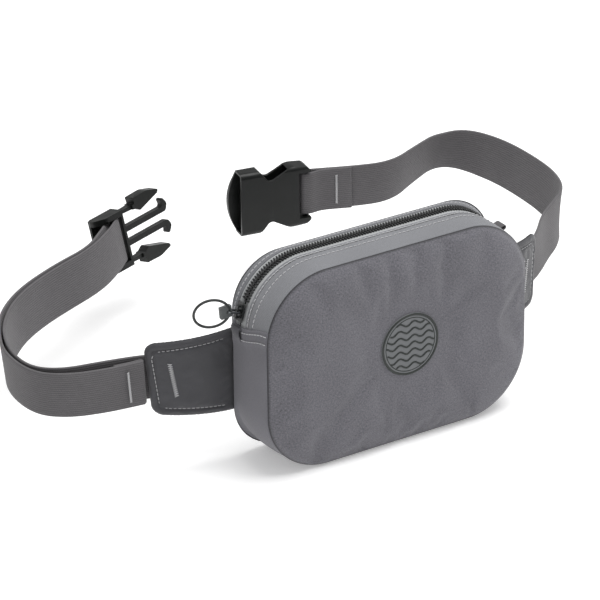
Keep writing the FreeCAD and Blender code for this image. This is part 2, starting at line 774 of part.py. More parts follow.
def upright(points, radii, low, high):
    """A plate outlined in its own X-Z plane, from one Y to another."""
    face = outline_face(points, radii)
    face.rotate(Vector(0, 0, 0), Vector(1, 0, 0), 90)
    face.translate(Vector(0, low, 0))
    return face.extrude(Vector(0, high - low, 0))


def build_buckle():
    """Male half: ladder frame with two guide arms, and two springy latch arms."""
    frame = buckle_placement()
    half = size("frame_width") / 2
    rail = size("frame_rail")
    front = size("frame_front")
    back = size("frame_length")
    near = -size("frame_depth_inner")
    hood = size("hood_gap")
    far = hood + size("hood_thickness")
    body = Part.makeBox(front, far - near, 2 * half, Vector(-front, near, -half))
    inside = half - rail
    profile = [(-back, far), (0, far), (0, near), (-back + 8, near), (-back, near + 5)]
    side = outline_face(profile, [3.5, 0.5, 0.5, 6.0, 3.5])
    for low in (-half, inside):
        plate = side.extrude(Vector(0, 0, rail))
        plate.translate(Vector(0, 0, low))
        body = body.fuse(plate)
    cover = Part.makeBox(size("hood_length"), far - hood, 2 * half - 1, Vector(-back + 1, hood, 0.5 - half))
    body = body.fuse(cover)
    bar = Part.makeCylinder(size("bar_radius"), 2 * half - 2, Vector(-size("bar_back"), 0, 1 - half))
    body = body.fuse(bar)
    reach = size("guide_reach")
    spread = size("guide_spread")
    arm = size("guide_width")
    tall = spread + arm
    hook = size("latch_root") - 5.3
    outline = [(-1, spread), (reach - 2.5, spread), (reach, tall + 1),
               (reach - 3, hook), (reach - 5.5, hook),
               (reach - 4.2, tall), (-1, tall)]
    rounds = [0.0, 3.0, 3.0, 1.1, 1.1, 2.0, 0.0]
    thick = size("guide_thickness") / 2
    guide = upright(outline, rounds, -thick, thick)
    body = body.fuse([guide, guide.mirror(Vector(0, 0, 0), Vector(0, 0, 1))]).removeSplitter()
    solid("buckle_frame", body.Solids[0], frame)
    build_latches(frame)


def build_latches(frame):
    """The two latch arms, mirror images, each turning a little about its round root."""
    root = size("latch_root")
    half = size("latch_arm") / 2
    start = half + size("latch_gap")
    barb = size("barb_reach")
    place = size("barb_place")
    tip = size("latch_reach")
    outline = [(start, root - half), (place + 0.5, root - half - 0.6), (place + 4.5, root - 4.5),
               (tip - 1.5, root + 1.0), (tip, root + 3.4), (tip - 11, barb + 0.4), (place, barb),
               (place + 0.6, root + half + 0.4), (start, root + half)]
    rounds = [0.0, 1.0, 1.6, 0.8, 1.0, 14.0, 0.5, 0.5, 0.0]
    thick = size("latch_thickness") / 2
    arm = upright(outline, rounds, -thick, thick)
    knuckle = Part.makeCylinder(half, 2 * thick, Vector(start, -thick, root), Vector(0, 1, 0))
    # the arm itself is thinner than its head
    slim = Part.makeBox(place - start + 0.4, thick, 3 * root, Vector(start - half, 0, 0))
    shape = arm.fuse(knuckle).removeSplitter()
    for away in (thick * 0.62, -thick * 0.62 - thick):
        waste = slim.copy()
        waste.translate(Vector(-1, away, 0))
        shape = shape.cut(waste)
    upper = shape.Solids[0]
    solid("latch_upper", upper, frame)
    solid("latch_lower", upper.mirror(Vector(0, 0, 0), Vector(0, 0, 1)), frame)


def build_socket():
    """Female half: a flat hollow case with a side window for each latch, and its bar."""
    half = size("socket_width") / 2
    whole = size("socket_length")
    first = size("window_start")
    last = size("window_end")
    deep = half - size("window_deep")
    wall = size("socket_wall")
    room = size("latch_thickness") / 2 + size("socket_play") / 2
    near = -room - wall
    far = room + wall
    bow = 2.0
    upper = [
        (0, half), (first, half), (first + 8, deep),
        (last, half - 0.8), (whole - 3, half - 2.2), (whole, half - 5),
    ]
    rounds = [0.8, 1.5, 4.0, 9.0, 4.0, 2.0]
    lower = [(across, -up) for across, up in reversed(upper)]
    plan = upright(upper + lower, rounds + rounds[::-1], near - 1, far + bow + 1)
    # the section is flat on the wearer's side and bowed on the outside
    section_points = [(near, -half), (near, half), (far, half), (far, -half)]
    flat = outline_face(section_points, [4.0, 4.0, 2.5, 2.5])
    bowed = (Vector(far - 0.5, -half + 3, 0), Vector(far + bow, 0, 0), Vector(far - 0.5, half - 3, 0))
    crest = Part.Arc(*bowed).toShape()
    chord = Part.LineSegment(Vector(far - 0.5, half - 3, 0), Vector(far - 0.5, -half + 3, 0)).toShape()
    swell = Part.Face(Part.Wire([crest, chord]))
    section = flat.extrude(Vector(0, 0, whole + 12)).fuse(swell.extrude(Vector(0, 0, whole + 12)))
    section.translate(Vector(0, 0, -12))
    section.rotate(Vector(0, 0, 0), Vector(1, 1, 1), 120)
    case = plan.common(section)
    rise = size("lip_bow")
    arc = Part.Arc(Vector(0.5, 0, -half + 1), Vector(-rise, 0, 0), Vector(0.5, 0, half - 1)).toShape()
    back = Part.LineSegment(Vector(0.5, 0, half - 1), Vector(0.5, 0, -half + 1)).toShape()
    lip = Part.Face(Part.Wire([arc, back])).extrude(Vector(0, far + bow + 1 - room, 0))
    lip.translate(Vector(0, room, 0))
    case = case.fuse(lip.common(section))
    inner = half - wall
    socket = Part.makeBox(size("socket_depth") + 20, 2 * room, 2 * inner, Vector(-20, -room, -inner))
    case = case.cut(socket)
    slot_from = size("socket_depth") + wall
    rail = half - 5 - 1.7
    slot = Part.makeBox(whole, 4 * far, 2 * rail, Vector(slot_from, -2 * far, -rail))
    case = case.cut(slot)
    bar = Part.makeCylinder(size("bar_radius"), 2 * rail + 2, Vector(socket_bar(), 0, -rail - 1))
    case = case.fuse(bar).removeSplitter()
    solid("socket_case", case.Solids[0], socket_placement())


def main():
    """Build every sub-part, check it and write it out."""
    build_shell()
    build_patch()
    build_zip_ends()
    build_slider()
    build_pull()
    build_wings()
    build_left_belt()
    build_right_belt()
    build_buckle()
    build_socket()
    doc.recompute()
    for item in doc.Objects:
        bad = [state for state in item.State if state in ("Invalid", "Error")]
        assert not bad, f"{item.Name} is {bad}"
    os.makedirs("parts", exist_ok=True)
    for part in PARTS:
        shape = part.Shape
        assert not shape.isNull() and shape.isValid(), f"{part.Label} has no sound shape"
        assert len(shape.Solids) == 1, f"{part.Label} has {len(shape.Solids)} solids"
        shape.exportStep(f"parts/{part.Label}.step")
        low = shape.BoundBox
        print(f"{part.Label:20s} {shape.Volume:10.1f}  x {low.XMin:7.1f} {low.XMax:7.1f}"
              f"  y {low.YMin:7.1f} {low.YMax:7.1f}  z {low.ZMin:7.1f} {low.ZMax:7.1f}")


main()
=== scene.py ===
"""Looks of the zip-top belt bag, in metres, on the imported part's own frame."""

import json
import logging
import math
from dataclasses import dataclass, field
from enum import Enum
from typing import Callable, Sequence

import bpy
import numpy as np
from mathutils import Matrix, Vector


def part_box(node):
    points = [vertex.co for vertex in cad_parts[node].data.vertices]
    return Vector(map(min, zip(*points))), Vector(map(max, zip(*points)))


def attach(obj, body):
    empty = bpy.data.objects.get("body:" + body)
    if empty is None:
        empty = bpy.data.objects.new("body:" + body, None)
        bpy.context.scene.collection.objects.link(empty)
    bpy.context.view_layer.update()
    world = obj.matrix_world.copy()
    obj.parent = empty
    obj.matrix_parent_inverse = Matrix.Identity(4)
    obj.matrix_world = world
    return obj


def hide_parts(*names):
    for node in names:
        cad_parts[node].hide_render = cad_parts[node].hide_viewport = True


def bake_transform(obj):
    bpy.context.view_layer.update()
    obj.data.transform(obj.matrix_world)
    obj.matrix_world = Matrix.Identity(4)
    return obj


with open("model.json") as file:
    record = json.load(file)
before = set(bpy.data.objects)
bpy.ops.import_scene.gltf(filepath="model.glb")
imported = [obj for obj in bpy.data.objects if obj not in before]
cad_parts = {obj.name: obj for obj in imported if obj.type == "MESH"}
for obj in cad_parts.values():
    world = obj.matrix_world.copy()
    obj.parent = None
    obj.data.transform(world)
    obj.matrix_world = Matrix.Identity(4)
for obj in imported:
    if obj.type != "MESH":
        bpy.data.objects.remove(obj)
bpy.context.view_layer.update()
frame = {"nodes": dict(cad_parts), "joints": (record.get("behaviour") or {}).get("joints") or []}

LOG = logging.getLogger("belt_bag")
MM = 0.001
UV_NAME = "cloth"
# The mesh attribute that carries painted shade in creases, along seams and under folds, and how dark that
# painted shade goes.
PAINTED_SHADE_NAME = "painted_shade"
PAINTED_SHADE_DARK = 0.12
TUBE_SIDES = 5
TINY = 1e-9
CLOTH_FRAMES = 20

Array = np.ndarray
Socket = bpy.types.NodeSocket
Value = float | Socket
Colour = tuple[float, float, float, float]
Faces = list[tuple[int, ...]]


# ---------------------------------------------------------------- shader building


def linear(code: str) -> Colour:
    """Turn a hex colour into linear light.

    Args:
        code: six hex digits.

    Returns:
        Red, green, blue and an alpha of 1.
    """
    parts = [int(code[i:i + 2], 16) / 255 for i in (0, 2, 4)]
    light = [p / 12.92 if p <= 0.04045 else ((p + 0.055) / 1.055) ** 2.4 for p in parts]
    return (light[0], light[1], light[2], 1.0)


def shade_of(colour: Colour, factor: float) -> Colour:
    """A colour made darker or lighter by a factor, up to 1."""
    red, green, blue = (min(1.0, part * factor) for part in colour[:3])
    return (red, green, blue, 1.0)


@dataclass
class Graph:
    """A node tree being wired up."""

    tree: bpy.types.NodeTree

    def node(self, kind: str, values: dict[str | int, Value] | None = None, **settings) -> bpy.types.Node:
        """Add a node.

        Args:
            kind: the node type's identifier, without its ShaderNode prefix.
            values: inputs by name or number, each a constant or a socket.
            settings: properties of the node itself.

        Returns:
            The new node.
        """
        made = self.tree.nodes.new("ShaderNode" + kind)
        for name, setting in settings.items():
            setattr(made, name, setting)
        for name, value in (values or {}).items():
            self.put(made.inputs[name], value)
        return made

    def put(self, target: Socket, value: Value) -> None:
        """Link a socket to an input, or set the input's constant."""
        if isinstance(value, bpy.types.NodeSocket):
            self.tree.links.new(value, target)
        else:
            target.default_value = value

    def maths(self, operation: str, *values: Value) -> Socket:
        """Work out one operation on numbers.

        Args:
            operation: a Math node's operation.
            values: its inputs, in order.

        Returns:
            The result's socket.
        """
        made = self.node("Math", operation=operation)
        for target, value in zip(made.inputs, values):
            self.put(target, value)
        return made.outputs[0]

    def between(self, share: Value, low: Value, high: Value) -> Socket:
        """Mix two numbers by a share from 0 to 1."""
        made = self.node("Mix", {0: share, 2: low, 3: high}, data_type="FLOAT")
        return made.outputs[0]

    def blend(self, share: Value, first, second, way: str = "MIX") -> Socket:
        """Mix two colours.

        Args:
            share: how much of the second there is.
            first: a colour or its socket.
            second: a colour or its socket.
            way: the Mix node's blend type.

        Returns:
            The colour's socket.
        """
        made = self.node("Mix", data_type="RGBA", blend_type=way)
        self.put(made.inputs[0], share)
        self.put(made.inputs[6], first)
        self.put(made.inputs[7], second)
        return made.outputs[2]

    def noise(self, vector: Socket, scale: Value, detail: float = 2.0) -> Socket:
        """Fractal noise from 0 to 1 at a scale."""
        made = self.node("TexNoise", {"Vector": vector, "Scale": scale, "Detail": detail})
        return made.outputs[0]

    def remap(self, value: Value, low: float, high: float, start: float = 0.0, end: float = 1.0) -> Socket:
        """Carry a value from one range to another, clamped."""
        made = self.node("MapRange", {0: value, 1: low, 2: high, 3: start, 4: end})
        return made.outputs[0]

    def grey(self, level: Socket) -> Socket:
        """A grey of a level."""
        made = self.node("CombineColor", {0: level, 1: level, 2: level})
        return made.outputs[0]

    def wave(self, phase: Socket) -> Socket:
        """Rounded ridges, one for each whole step of a phase."""
        return self.maths("ABSOLUTE", self.maths("SINE", self.maths("MULTIPLY", phase, math.pi)))

    def squeeze(self, vector: Socket, amounts: tuple[float, float, float]) -> Socket:
        """Scale a vector along each of its axes."""
        made = self.node("VectorMath", {0: vector, 1: amounts}, operation="MULTIPLY")
        return made.outputs[0]


def start_group(name: str, inputs: dict[str, float | None],
                outputs: Sequence[str]) -> tuple[Graph, dict[str, Socket], bpy.types.Node]:
    """Make an empty node group.

    Args:
        name: the group's name.
        inputs: input names with their defaults; None stands for a vector.
        outputs: names of the number outputs.

    Returns:
        The group's graph, its input sockets by name and its output node.
    """
    tree = bpy.data.node_groups.new(name, "ShaderNodeTree")
    for label, default in inputs.items():
        kind = "NodeSocketVector" if default is None else "NodeSocketFloat"
        made = tree.interface.new_socket(name=label, in_out="INPUT", socket_type=kind)
        if default is not None:
            made.default_value = default
    for label in outputs:
        tree.interface.new_socket(name=label, in_out="OUTPUT", socket_type="NodeSocketFloat")
    graph = Graph(tree)
    start = tree.nodes.new("NodeGroupInput")
    end = tree.nodes.new("NodeGroupOutput")
    return graph, {socket.name: socket for socket in start.outputs if socket.name}, end


class Effects:
    """The shader node groups that several finishes share, each built once."""

    made: dict[str, bpy.types.NodeTree] = {}

    @classmethod
    def place(cls, graph: Graph, name: str, values: dict[str, Value]) -> bpy.types.Node:
        """Place one of the groups in a material.

        Args:
            graph: the material's graph.
            name: the group's name, which is also its builder's.
            values: its inputs.

        Returns:
            The group's node.
        """
        if name not in cls.made:
            cls.made[name] = getattr(cls, name)()
        made = graph.node("Group", node_tree=cls.made[name])
        for label, value in values.items():
            graph.put(made.inputs[label], value)
        return made

    @staticmethod
    def weave() -> bpy.types.NodeTree:
        """Plain weave: warp and weft passing over each other, each yarn a little different."""
        graph, given, end = start_group("weave", {"Vector": None, "Pitch": 0.0009}, ["Height", "Tone"])
        scaled = graph.node("VectorMath", {0: given["Vector"]}, operation="SCALE")
        graph.put(scaled.inputs["Scale"], graph.maths("DIVIDE", 1.0, given["Pitch"]))
        split = graph.node("SeparateXYZ", {0: scaled.outputs[0]})
        across, along = split.outputs[0], split.outputs[1]
        warp, weft = graph.wave(across), graph.wave(along)
        cells = graph.maths("ADD", graph.maths("FLOOR", across), graph.maths("FLOOR", along))
        over = graph.maths("FLOORED_MODULO", cells, 2.0)
        under = graph.maths("SUBTRACT", 1.0, over)
        raised = graph.maths("MULTIPLY", warp, graph.maths("MULTIPLY_ADD", over, 0.55, 0.45))
        crossed = graph.maths("MULTIPLY", weft, graph.maths("MULTIPLY_ADD", under, 0.55, 0.45))
        graph.put(end.inputs["Height"], graph.maths("MAXIMUM", raised, crossed))
        yarn = graph.noise(graph.squeeze(scaled.outputs[0], (1.0, 0.45, 1.0)), 1.3)
        pick = graph.noise(graph.squeeze(scaled.outputs[0], (0.45, 1.0, 1.0)), 1.3)
        graph.put(end.inputs["Tone"], graph.between(0.5, yarn, pick))
        return graph.tree

    @staticmethod
    def ribs() -> bpy.types.NodeTree:
        """Webbing: ribs along its length, crossed by small picks that alternate."""
        graph, given, end = start_group(
            "ribs", {"Vector": None, "Rib": 0.0016, "Pick": 0.0011}, ["Height", "Tone"])
        split = graph.node("SeparateXYZ", {0: given["Vector"]})
        across = graph.maths("DIVIDE", split.outputs[0], given["Rib"])
        along = graph.maths("DIVIDE", split.outputs[1], given["Pick"])
        rib = graph.wave(across)
        shifted = graph.maths("MULTIPLY_ADD", graph.maths("FLOOR", across), 0.5, along)
        pick = graph.maths("MULTIPLY_ADD", graph.wave(shifted), 0.35, 0.65)
        graph.put(end.inputs["Height"], graph.maths("MULTIPLY", graph.maths("POWER", rib, 0.6), pick))
        streak = graph.noise(graph.squeeze(given["Vector"], (1.0, 0.12, 1.0)), 1400.0)
        speck = graph.noise(given["Vector"], 1500.0)
        graph.put(end.inputs["Tone"], graph.between(0.45, streak, speck))
        return graph.tree

    @staticmethod
    def mottle() -> bpy.types.NodeTree:
        """Slow patches, as handling and fading leave them, and their gentle relief."""
        graph, given, end = start_group("mottle", {"Vector": None, "Scale": 30.0}, ["Patch", "Relief"])
        patch = graph.noise(given["Vector"], given["Scale"], 3.0)
        relief = graph.noise(given["Vector"], graph.maths("MULTIPLY", given["Scale"], 2.3), 2.0)
        graph.put(end.inputs["Patch"], patch)
        graph.put(end.inputs["Relief"], relief)
        return graph.tree

    @staticmethod
    def wear() -> bpy.types.NodeTree:
        """Rubbed edges: a mask on convex edges, broken up by noise."""
        graph, given, end = start_group("wear", {"Vector": None, "Amount": 1.0}, ["Mask"])
        point = graph.node("NewGeometry").outputs["Pointiness"]
        edge = graph.remap(point, 0.51, 0.60)
        broken = graph.remap(graph.noise(given["Vector"], 420.0, 3.0), 0.38, 0.62)
        mask = graph.maths("MULTIPLY", graph.maths("MULTIPLY", edge, broken), given["Amount"])
        graph.put(end.inputs["Mask"], mask)
        return graph.tree

    @staticmethod
    def grain() -> bpy.types.NodeTree:
        """Fine spark-eroded grain of a moulding, with a slower unevenness under it."""
        graph, given, end = start_group("grain", {"Vector": None, "Scale": 2600.0}, ["Height", "Tone"])
        fine = graph.noise(given["Vector"], given["Scale"], 2.0)
        slow = graph.noise(given["Vector"], graph.maths("MULTIPLY", given["Scale"], 0.05), 2.0)
        graph.put(end.inputs["Height"], graph.between(0.3, fine, slow))
        graph.put(end.inputs["Tone"], slow)
        return graph.tree

    @staticmethod
    def dust() -> bpy.types.NodeTree:
        """A thin settled film on upward faces."""
        graph, given, end = start_group("dust", {"Vector": None, "Amount": 0.3}, ["Mask"])
        normal = graph.node("NewGeometry").outputs["Normal"]
        up = graph.node("SeparateXYZ", {0: normal}).outputs[2]
        facing = graph.remap(up, 0.2, 1.0)
        patch = graph.remap(graph.noise(given["Vector"], 160.0, 4.0), 0.35, 0.7)
        mask = graph.maths("MULTIPLY", graph.maths("MULTIPLY", facing, patch), given["Amount"])
        graph.put(end.inputs["Mask"], mask)
        return graph.tree


class Mapping(Enum):
    """Where a finish gets its coordinates from."""

    CLOTH = "cloth"
    SPACE = "space"


def start_material(name: str, mapping: Mapping) -> tuple[bpy.types.Material, Graph, Socket, bpy.types.Node]:
    """Make a material with its shader and its coordinates.

    Args:
        name: the material's name.
        mapping: the coordinates it uses.

    Returns:
        The material, its graph, its coordinates and its Principled node.
    """
    material = bpy.data.materials.new(name)
    material.use_nodes = True
    graph = Graph(material.node_tree)
    shader = material.node_tree.nodes["Principled BSDF"]
    if mapping is Mapping.CLOTH:
        where = graph.node("UVMap", uv_map=UV_NAME).outputs[0]
    else:
        where = graph.node("TexCoord").outputs["Object"]
    return material, graph, where, shader


def bump(graph: Graph, shader: bpy.types.Node, height: Socket, strength: float, depth: float) -> None:
    """Drive a shader's normal by a height.

    Args:
        graph: the material's graph.
        shader: its Principled node.
        height: the height, from 0 to 1.
        strength: how strongly it shows.
        depth: the height's real depth in metres.
    """
    made = graph.node("Bump", {"Height": height})
    made.inputs["Strength"].default_value = strength
    made.inputs["Distance"].default_value = depth
    graph.put(shader.inputs["Normal"], made.outputs[0])


def two_tone(graph: Graph, base: Colour, contrast: float, tone: Socket) -> Socket:
    """Yarns of a cloth, from a darker to a lighter shade of its colour by a tone."""
    dark, light = shade_of(base, 1 - contrast * 0.5), shade_of(base, 1 + contrast * 0.5)
    return graph.blend(tone, dark, light)


@dataclass(frozen=True)
class ClothFinish:
    """A woven cloth: yarns at a real pitch, uneven dye, and painted shade in its creases and along its seams.
    """

    name: str
    colour: str
    slot: str
    pitch: float = 0.85 * MM
    contrast: float = 0.32
    relief: float = 0.10 * MM
    slack: float = 0.5 * MM
    roughness: float = 0.86
    sheen: float = 0.18
    mapping: Mapping = Mapping.CLOTH

    def make(self) -> bpy.types.Material:
        """Build the material."""
        material, graph, where, shader = start_material(self.name, self.mapping)
        weave = Effects.place(graph, "weave", {"Vector": where, "Pitch": self.pitch})
        mottle = Effects.place(graph, "mottle", {"Vector": where, "Scale": 28.0})
        base = linear(self.colour)
        yarns = two_tone(graph, base, self.contrast, graph.remap(weave.outputs["Tone"], 0.3, 0.7))
        # Painted shade between the yarns: the colour darkens where the weave lies low.
        gap_shade = graph.maths("MULTIPLY_ADD", weave.outputs["Height"], 0.45, 0.62)
        shaded = graph.blend(1.0, yarns, graph.grey(gap_shade), "MULTIPLY")
        patch = graph.remap(mottle.outputs["Patch"], 0.3, 0.7, 0.93, 1.07)
        faded = graph.blend(1.0, shaded, graph.grey(patch), "MULTIPLY")
        # Painted shade: the colour darkens to a dark copy of the cloth where the painted-shade attribute
        # marks creases, seams and folds.
        painted_shade = graph.node("Attribute", attribute_name=PAINTED_SHADE_NAME).outputs["Fac"]
        graph.put(shader.inputs["Base Color"], graph.blend(painted_shade, faded, shade_of(base, PAINTED_SHADE_DARK)))
        rough = graph.remap(mottle.outputs["Patch"], 0.0, 1.0, self.roughness - 0.06, self.roughness + 0.06)
        graph.put(shader.inputs["Roughness"], rough)
        shader.inputs["Sheen Weight"].default_value = self.sheen
        shader.inputs["Sheen Roughness"].default_value = 0.6
        shader.inputs["Specular IOR Level"].default_value = 0.28
        slack = graph.node("Bump", {"Height": mottle.outputs["Relief"], "Strength": 0.6,
                                    "Distance": self.slack})
        fine = graph.node("Bump", {"Height": weave.outputs["Height"], "Normal": slack.outputs[0]})
        fine.inputs["Strength"].default_value = 0.75
        fine.inputs["Distance"].default_value = self.relief
        graph.put(shader.inputs["Normal"], fine.outputs[0])
        return material


@dataclass(frozen=True)
class WebbingFinish:
    """Ribbed belt webbing or zip tape."""

    name: str
    colour: str
    slot: str
    rib: float = 1.5 * MM
    pick: float = 1.1 * MM
    contrast: float = 0.5
    relief: float = 0.25 * MM
    roughness: float = 0.8
    mapping: Mapping = Mapping.CLOTH

    def make(self) -> bpy.types.Material:
        """Build the material."""
        material, graph, where, shader = start_material(self.name, self.mapping)
        ribs = Effects.place(graph, "ribs", {"Vector": where, "Rib": self.rib, "Pick": self.pick})
        mottle = Effects.place(graph, "mottle", {"Vector": where, "Scale": 22.0})
        base = linear(self.colour)
        yarns = two_tone(graph, base, self.contrast, graph.remap(ribs.outputs["Tone"], 0.32, 0.68))
        # Painted shade between the ribs: the colour darkens where the webbing lies low.
        gap_shade = graph.maths("MULTIPLY_ADD", ribs.outputs["Height"], 0.55, 0.55)
        gap_shaded = graph.blend(1.0, yarns, graph.grey(gap_shade), "MULTIPLY")
        patch = graph.remap(mottle.outputs["Patch"], 0.3, 0.7, 0.92, 1.06)
        graph.put(shader.inputs["Base Color"], graph.blend(1.0, gap_shaded, graph.grey(patch), "MULTIPLY"))
        rough = graph.remap(ribs.outputs["Tone"], 0.0, 1.0, self.roughness - 0.08, self.roughness + 0.08)
        graph.put(shader.inputs["Roughness"], rough)
        shader.inputs["Sheen Weight"].default_value = 0.12
        shader.inputs["Specular IOR Level"].default_value = 0.3
        bump(graph, shader, ribs.outputs["Height"], 0.8, self.relief)
        return material


@dataclass(frozen=True)
class MouldedFinish:
    """A moulded plastic, rubber or enamelled part: grain, rubbed edges and a little dust."""

    name: str
    colour: str
    worn: str
    slot: str
    roughness: float = 0.42
    grain: float = 0.03 * MM
    wear: float = 0.5
    dust: float = 0.08
    metallic: float = 0.0
    coat: float = 0.0
    specular: float = 0.5

    def make(self) -> bpy.types.Material:
        """Build the material."""
        material, graph, where, shader = start_material(self.name, Mapping.SPACE)
        shader.inputs["Specular IOR Level"].default_value = self.specular
        grain = Effects.place(graph, "grain", {"Vector": where})
        wear = Effects.place(graph, "wear", {"Vector": where, "Amount": self.wear})
        dust = Effects.place(graph, "dust", {"Vector": where, "Amount": self.dust})
        base = linear(self.colour)
        mixed = graph.blend(grain.outputs["Tone"], base, shade_of(base, 1.25))
        rubbed = graph.blend(wear.outputs["Mask"], mixed, linear(self.worn))
        graph.put(shader.inputs["Base Color"], graph.blend(dust.outputs["Mask"], rubbed, linear("9a9a98")))
        low = graph.remap(grain.outputs["Tone"], 0.3, 0.7, self.roughness - 0.07, self.roughness + 0.07)
        graph.put(shader.inputs["Roughness"], graph.between(dust.outputs["Mask"], low, 0.85))
        shader.inputs["Metallic"].default_value = self.metallic
        shader.inputs["Coat Weight"].default_value = self.coat
        shader.inputs["Coat Roughness"].default_value = 0.25
        bump(graph, shader, grain.outputs["Height"], 0.5, self.grain)
        return material


@dataclass(frozen=True)
class ThreadFinish:
    """Twisted sewing thread."""

    name: str
    colour: str
    slot: str = "thread"

    def make(self) -> bpy.types.Material:
        """Build the material."""
        material, graph, where, shader = start_material(self.name, Mapping.SPACE)
        grain = Effects.place(graph, "grain", {"Vector": where, "Scale": 1800.0})
        base = linear(self.colour)
        mixed = graph.blend(grain.outputs["Height"], shade_of(base, 0.7), base)
        graph.put(shader.inputs["Base Color"], mixed)
        shader.inputs["Roughness"].default_value = 0.7
        shader.inputs["Sheen Weight"].default_value = 0.2
        bump(graph, shader, grain.outputs["Height"], 0.6, 0.08 * MM)
        return material


class Wardrobe:
    """Every finish by name, each material made once."""

    finishes = {
        "panel": ClothFinish("panel_cloth", "66656b", "panel_cloth", contrast=0.95),
        # The zip bands are the panel's cloth given a lighter colour: painted light standing for the light
        # that falls on the bag's top.
        "band": ClothFinish("band_cloth_lit", "7a7b7f", "panel_cloth"),
        "gusset": ClothFinish("gusset_cloth", "68676d", "panel_cloth"),
        "wing": ClothFinish("wing_cloth", "3a3a3e", "wing_cloth", pitch=0.6 * MM, contrast=0.3,
                            relief=0.05 * MM, roughness=0.6, sheen=0.25),
        "tab": ClothFinish("tab_cloth", "4d4d52", "binding", pitch=0.7 * MM, contrast=0.3),
        "inner": ClothFinish("inner_cloth", "3c3c40", "binding", mapping=Mapping.SPACE),
        "foam": ClothFinish("foam_sheet", "6f6f74", "foam", pitch=0.5 * MM, mapping=Mapping.SPACE),
        "webbing": WebbingFinish("belt_webbing", "5f5d5f", "webbing", contrast=0.24),
        "tape": WebbingFinish("zip_tape", "a9abac", "zip_tape", rib=0.9 * MM, pick=0.7 * MM,
                              contrast=0.35, relief=0.1 * MM),
        "thread": ThreadFinish("pale_thread", "c6c6c8"),
        "teeth": MouldedFinish("zip_teeth", "0f1011", "303232", "zip_coil", roughness=0.32, wear=0.3,
                               dust=0.02),
        "buckle": MouldedFinish("buckle_plastic", "0d0f0e", "232524", "buckle_plastic", roughness=0.38,
                                wear=0.3, dust=0.0, specular=0.3),
        "slider": MouldedFinish("slider_enamel", "161818", "6a6c6a", "slider_metal", roughness=0.3,
                                wear=0.6, coat=0.3),
        "link": MouldedFinish("link_plating", "55585a", "9a9c9c", "link_metal", roughness=0.32,
                              metallic=0.9, wear=0.4),
        "cord": MouldedFinish("cord_coating", "232625", "4a4d4b", "cord", roughness=0.5, wear=0.2),
        "sleeve": MouldedFinish("sleeve_rubber", "4c4f4f", "6c6f6f", "sleeve", roughness=0.6, wear=0.3),
        "patch": MouldedFinish("patch_rubber", "626466", "767a79", "patch_rubber", roughness=0.6,
                               wear=0.2),
        "raised": MouldedFinish("patch_lines", "171d1a", "2c322f", "patch_rubber", roughness=0.5,
                                wear=0.35),
    }
    made: dict[str, bpy.types.Material] = {}

    @classmethod
    def dress(cls, piece: bpy.types.Object, finish: str) -> None:
        """Give a piece one finish.

        Args:
            piece: the mesh object.
            finish: the finish's name.
        """
        if finish not in cls.made:
            cls.made[finish] = cls.finishes[finish].make()
        piece.data.materials.clear()
        piece.data.materials.append(cls.made[finish])


# ---------------------------------------------------------------- mesh building


def smooth_step(value: Array, low: float, high: float) -> Array:
    """Rise smoothly from 0 at low to 1 at high."""
    share = np.clip((value - low) / (high - low), 0, 1)
    return share * share * (3 - 2 * share)


def grid_faces(rows: int, columns: int, wrap: bool = False) -> Faces:
    """Quads of a grid of points.

    Args:
        rows: how many rows of points.
        columns: how many points in each.
        wrap: whether each row closes on itself.

    Returns:
        The quads, as point numbers.
    """
    last = columns if wrap else columns - 1
    faces = []
    for row in range(rows - 1):
        for column in range(last):
            ahead = (column + 1) % columns
            faces.append((row * columns + column, row * columns + ahead,
                          (row + 1) * columns + ahead, (row + 1) * columns + column))
    return faces


def make_mesh(name: str, points: Array, faces: Faces, uv: Array | None = None,
              painted_shade: Array | None = None) -> bpy.types.Object:
    """Make a smooth mesh object.

    Args:
        name: the object's name.
        points: its points, one row each.
        faces: its faces, as point numbers.
        uv: cloth coordinates of each point, in metres.
        painted_shade: how much painted shade each point gets in creases, along seams and under folds, from 0
            to 1.

    Returns:
        The object, linked to the scene.
    """
    data = bpy.data.meshes.new(name)
    data.from_pydata([tuple(point) for point in points], [], faces)
    data.update()
    data.polygons.foreach_set("use_smooth", [True] * len(data.polygons))
    order = np.zeros(len(data.loops), np.int64)
    data.loops.foreach_get("vertex_index", order)
    if uv is not None:
        layer = data.uv_layers.new(name=UV_NAME)
        layer.data.foreach_set("uv", np.asarray(uv, np.float32)[order].ravel())
    # Every mesh gets the painted-shade attribute, zero where none is given.
    held = data.attributes.new(PAINTED_SHADE_NAME, "FLOAT", "POINT")
    level = np.zeros(len(points)) if painted_shade is None else painted_shade
    held.data.foreach_set("value", level.astype(np.float32))
    piece = bpy.data.objects.new(name, data)
    bpy.context.scene.collection.objects.link(piece)
    return piece


def spline(controls: Array, count: int, degree: int = 2) -> Array:
    """Points on a clamped uniform B-spline.

    Args:
        controls: its control points, of any dimension.
        count: how many points to give back.
        degree: the spline's degree.

    Returns:
        The points, one row each.
    """
    total = len(controls)
    knots = np.concatenate([np.zeros(degree), np.linspace(0, 1, total - degree + 1), np.ones(degree)])
    found = []
    for place in np.linspace(0, 1, count):
        span = min(max(np.searchsorted(knots, place, side="right") - 1, degree), total - 1)
        local = [controls[span - degree + step] for step in range(degree + 1)]
        for level in range(1, degree + 1):
            for step in range(degree, level - 1, -1):
                left = knots[span - degree + step]
                right = knots[span + 1 + step - level]
                share = (place - left) / (right - left) if right > left else 0.0
                local[step] = local[step - 1] * (1 - share) + local[step] * share
        found.append(local[degree])
    return np.array(found)


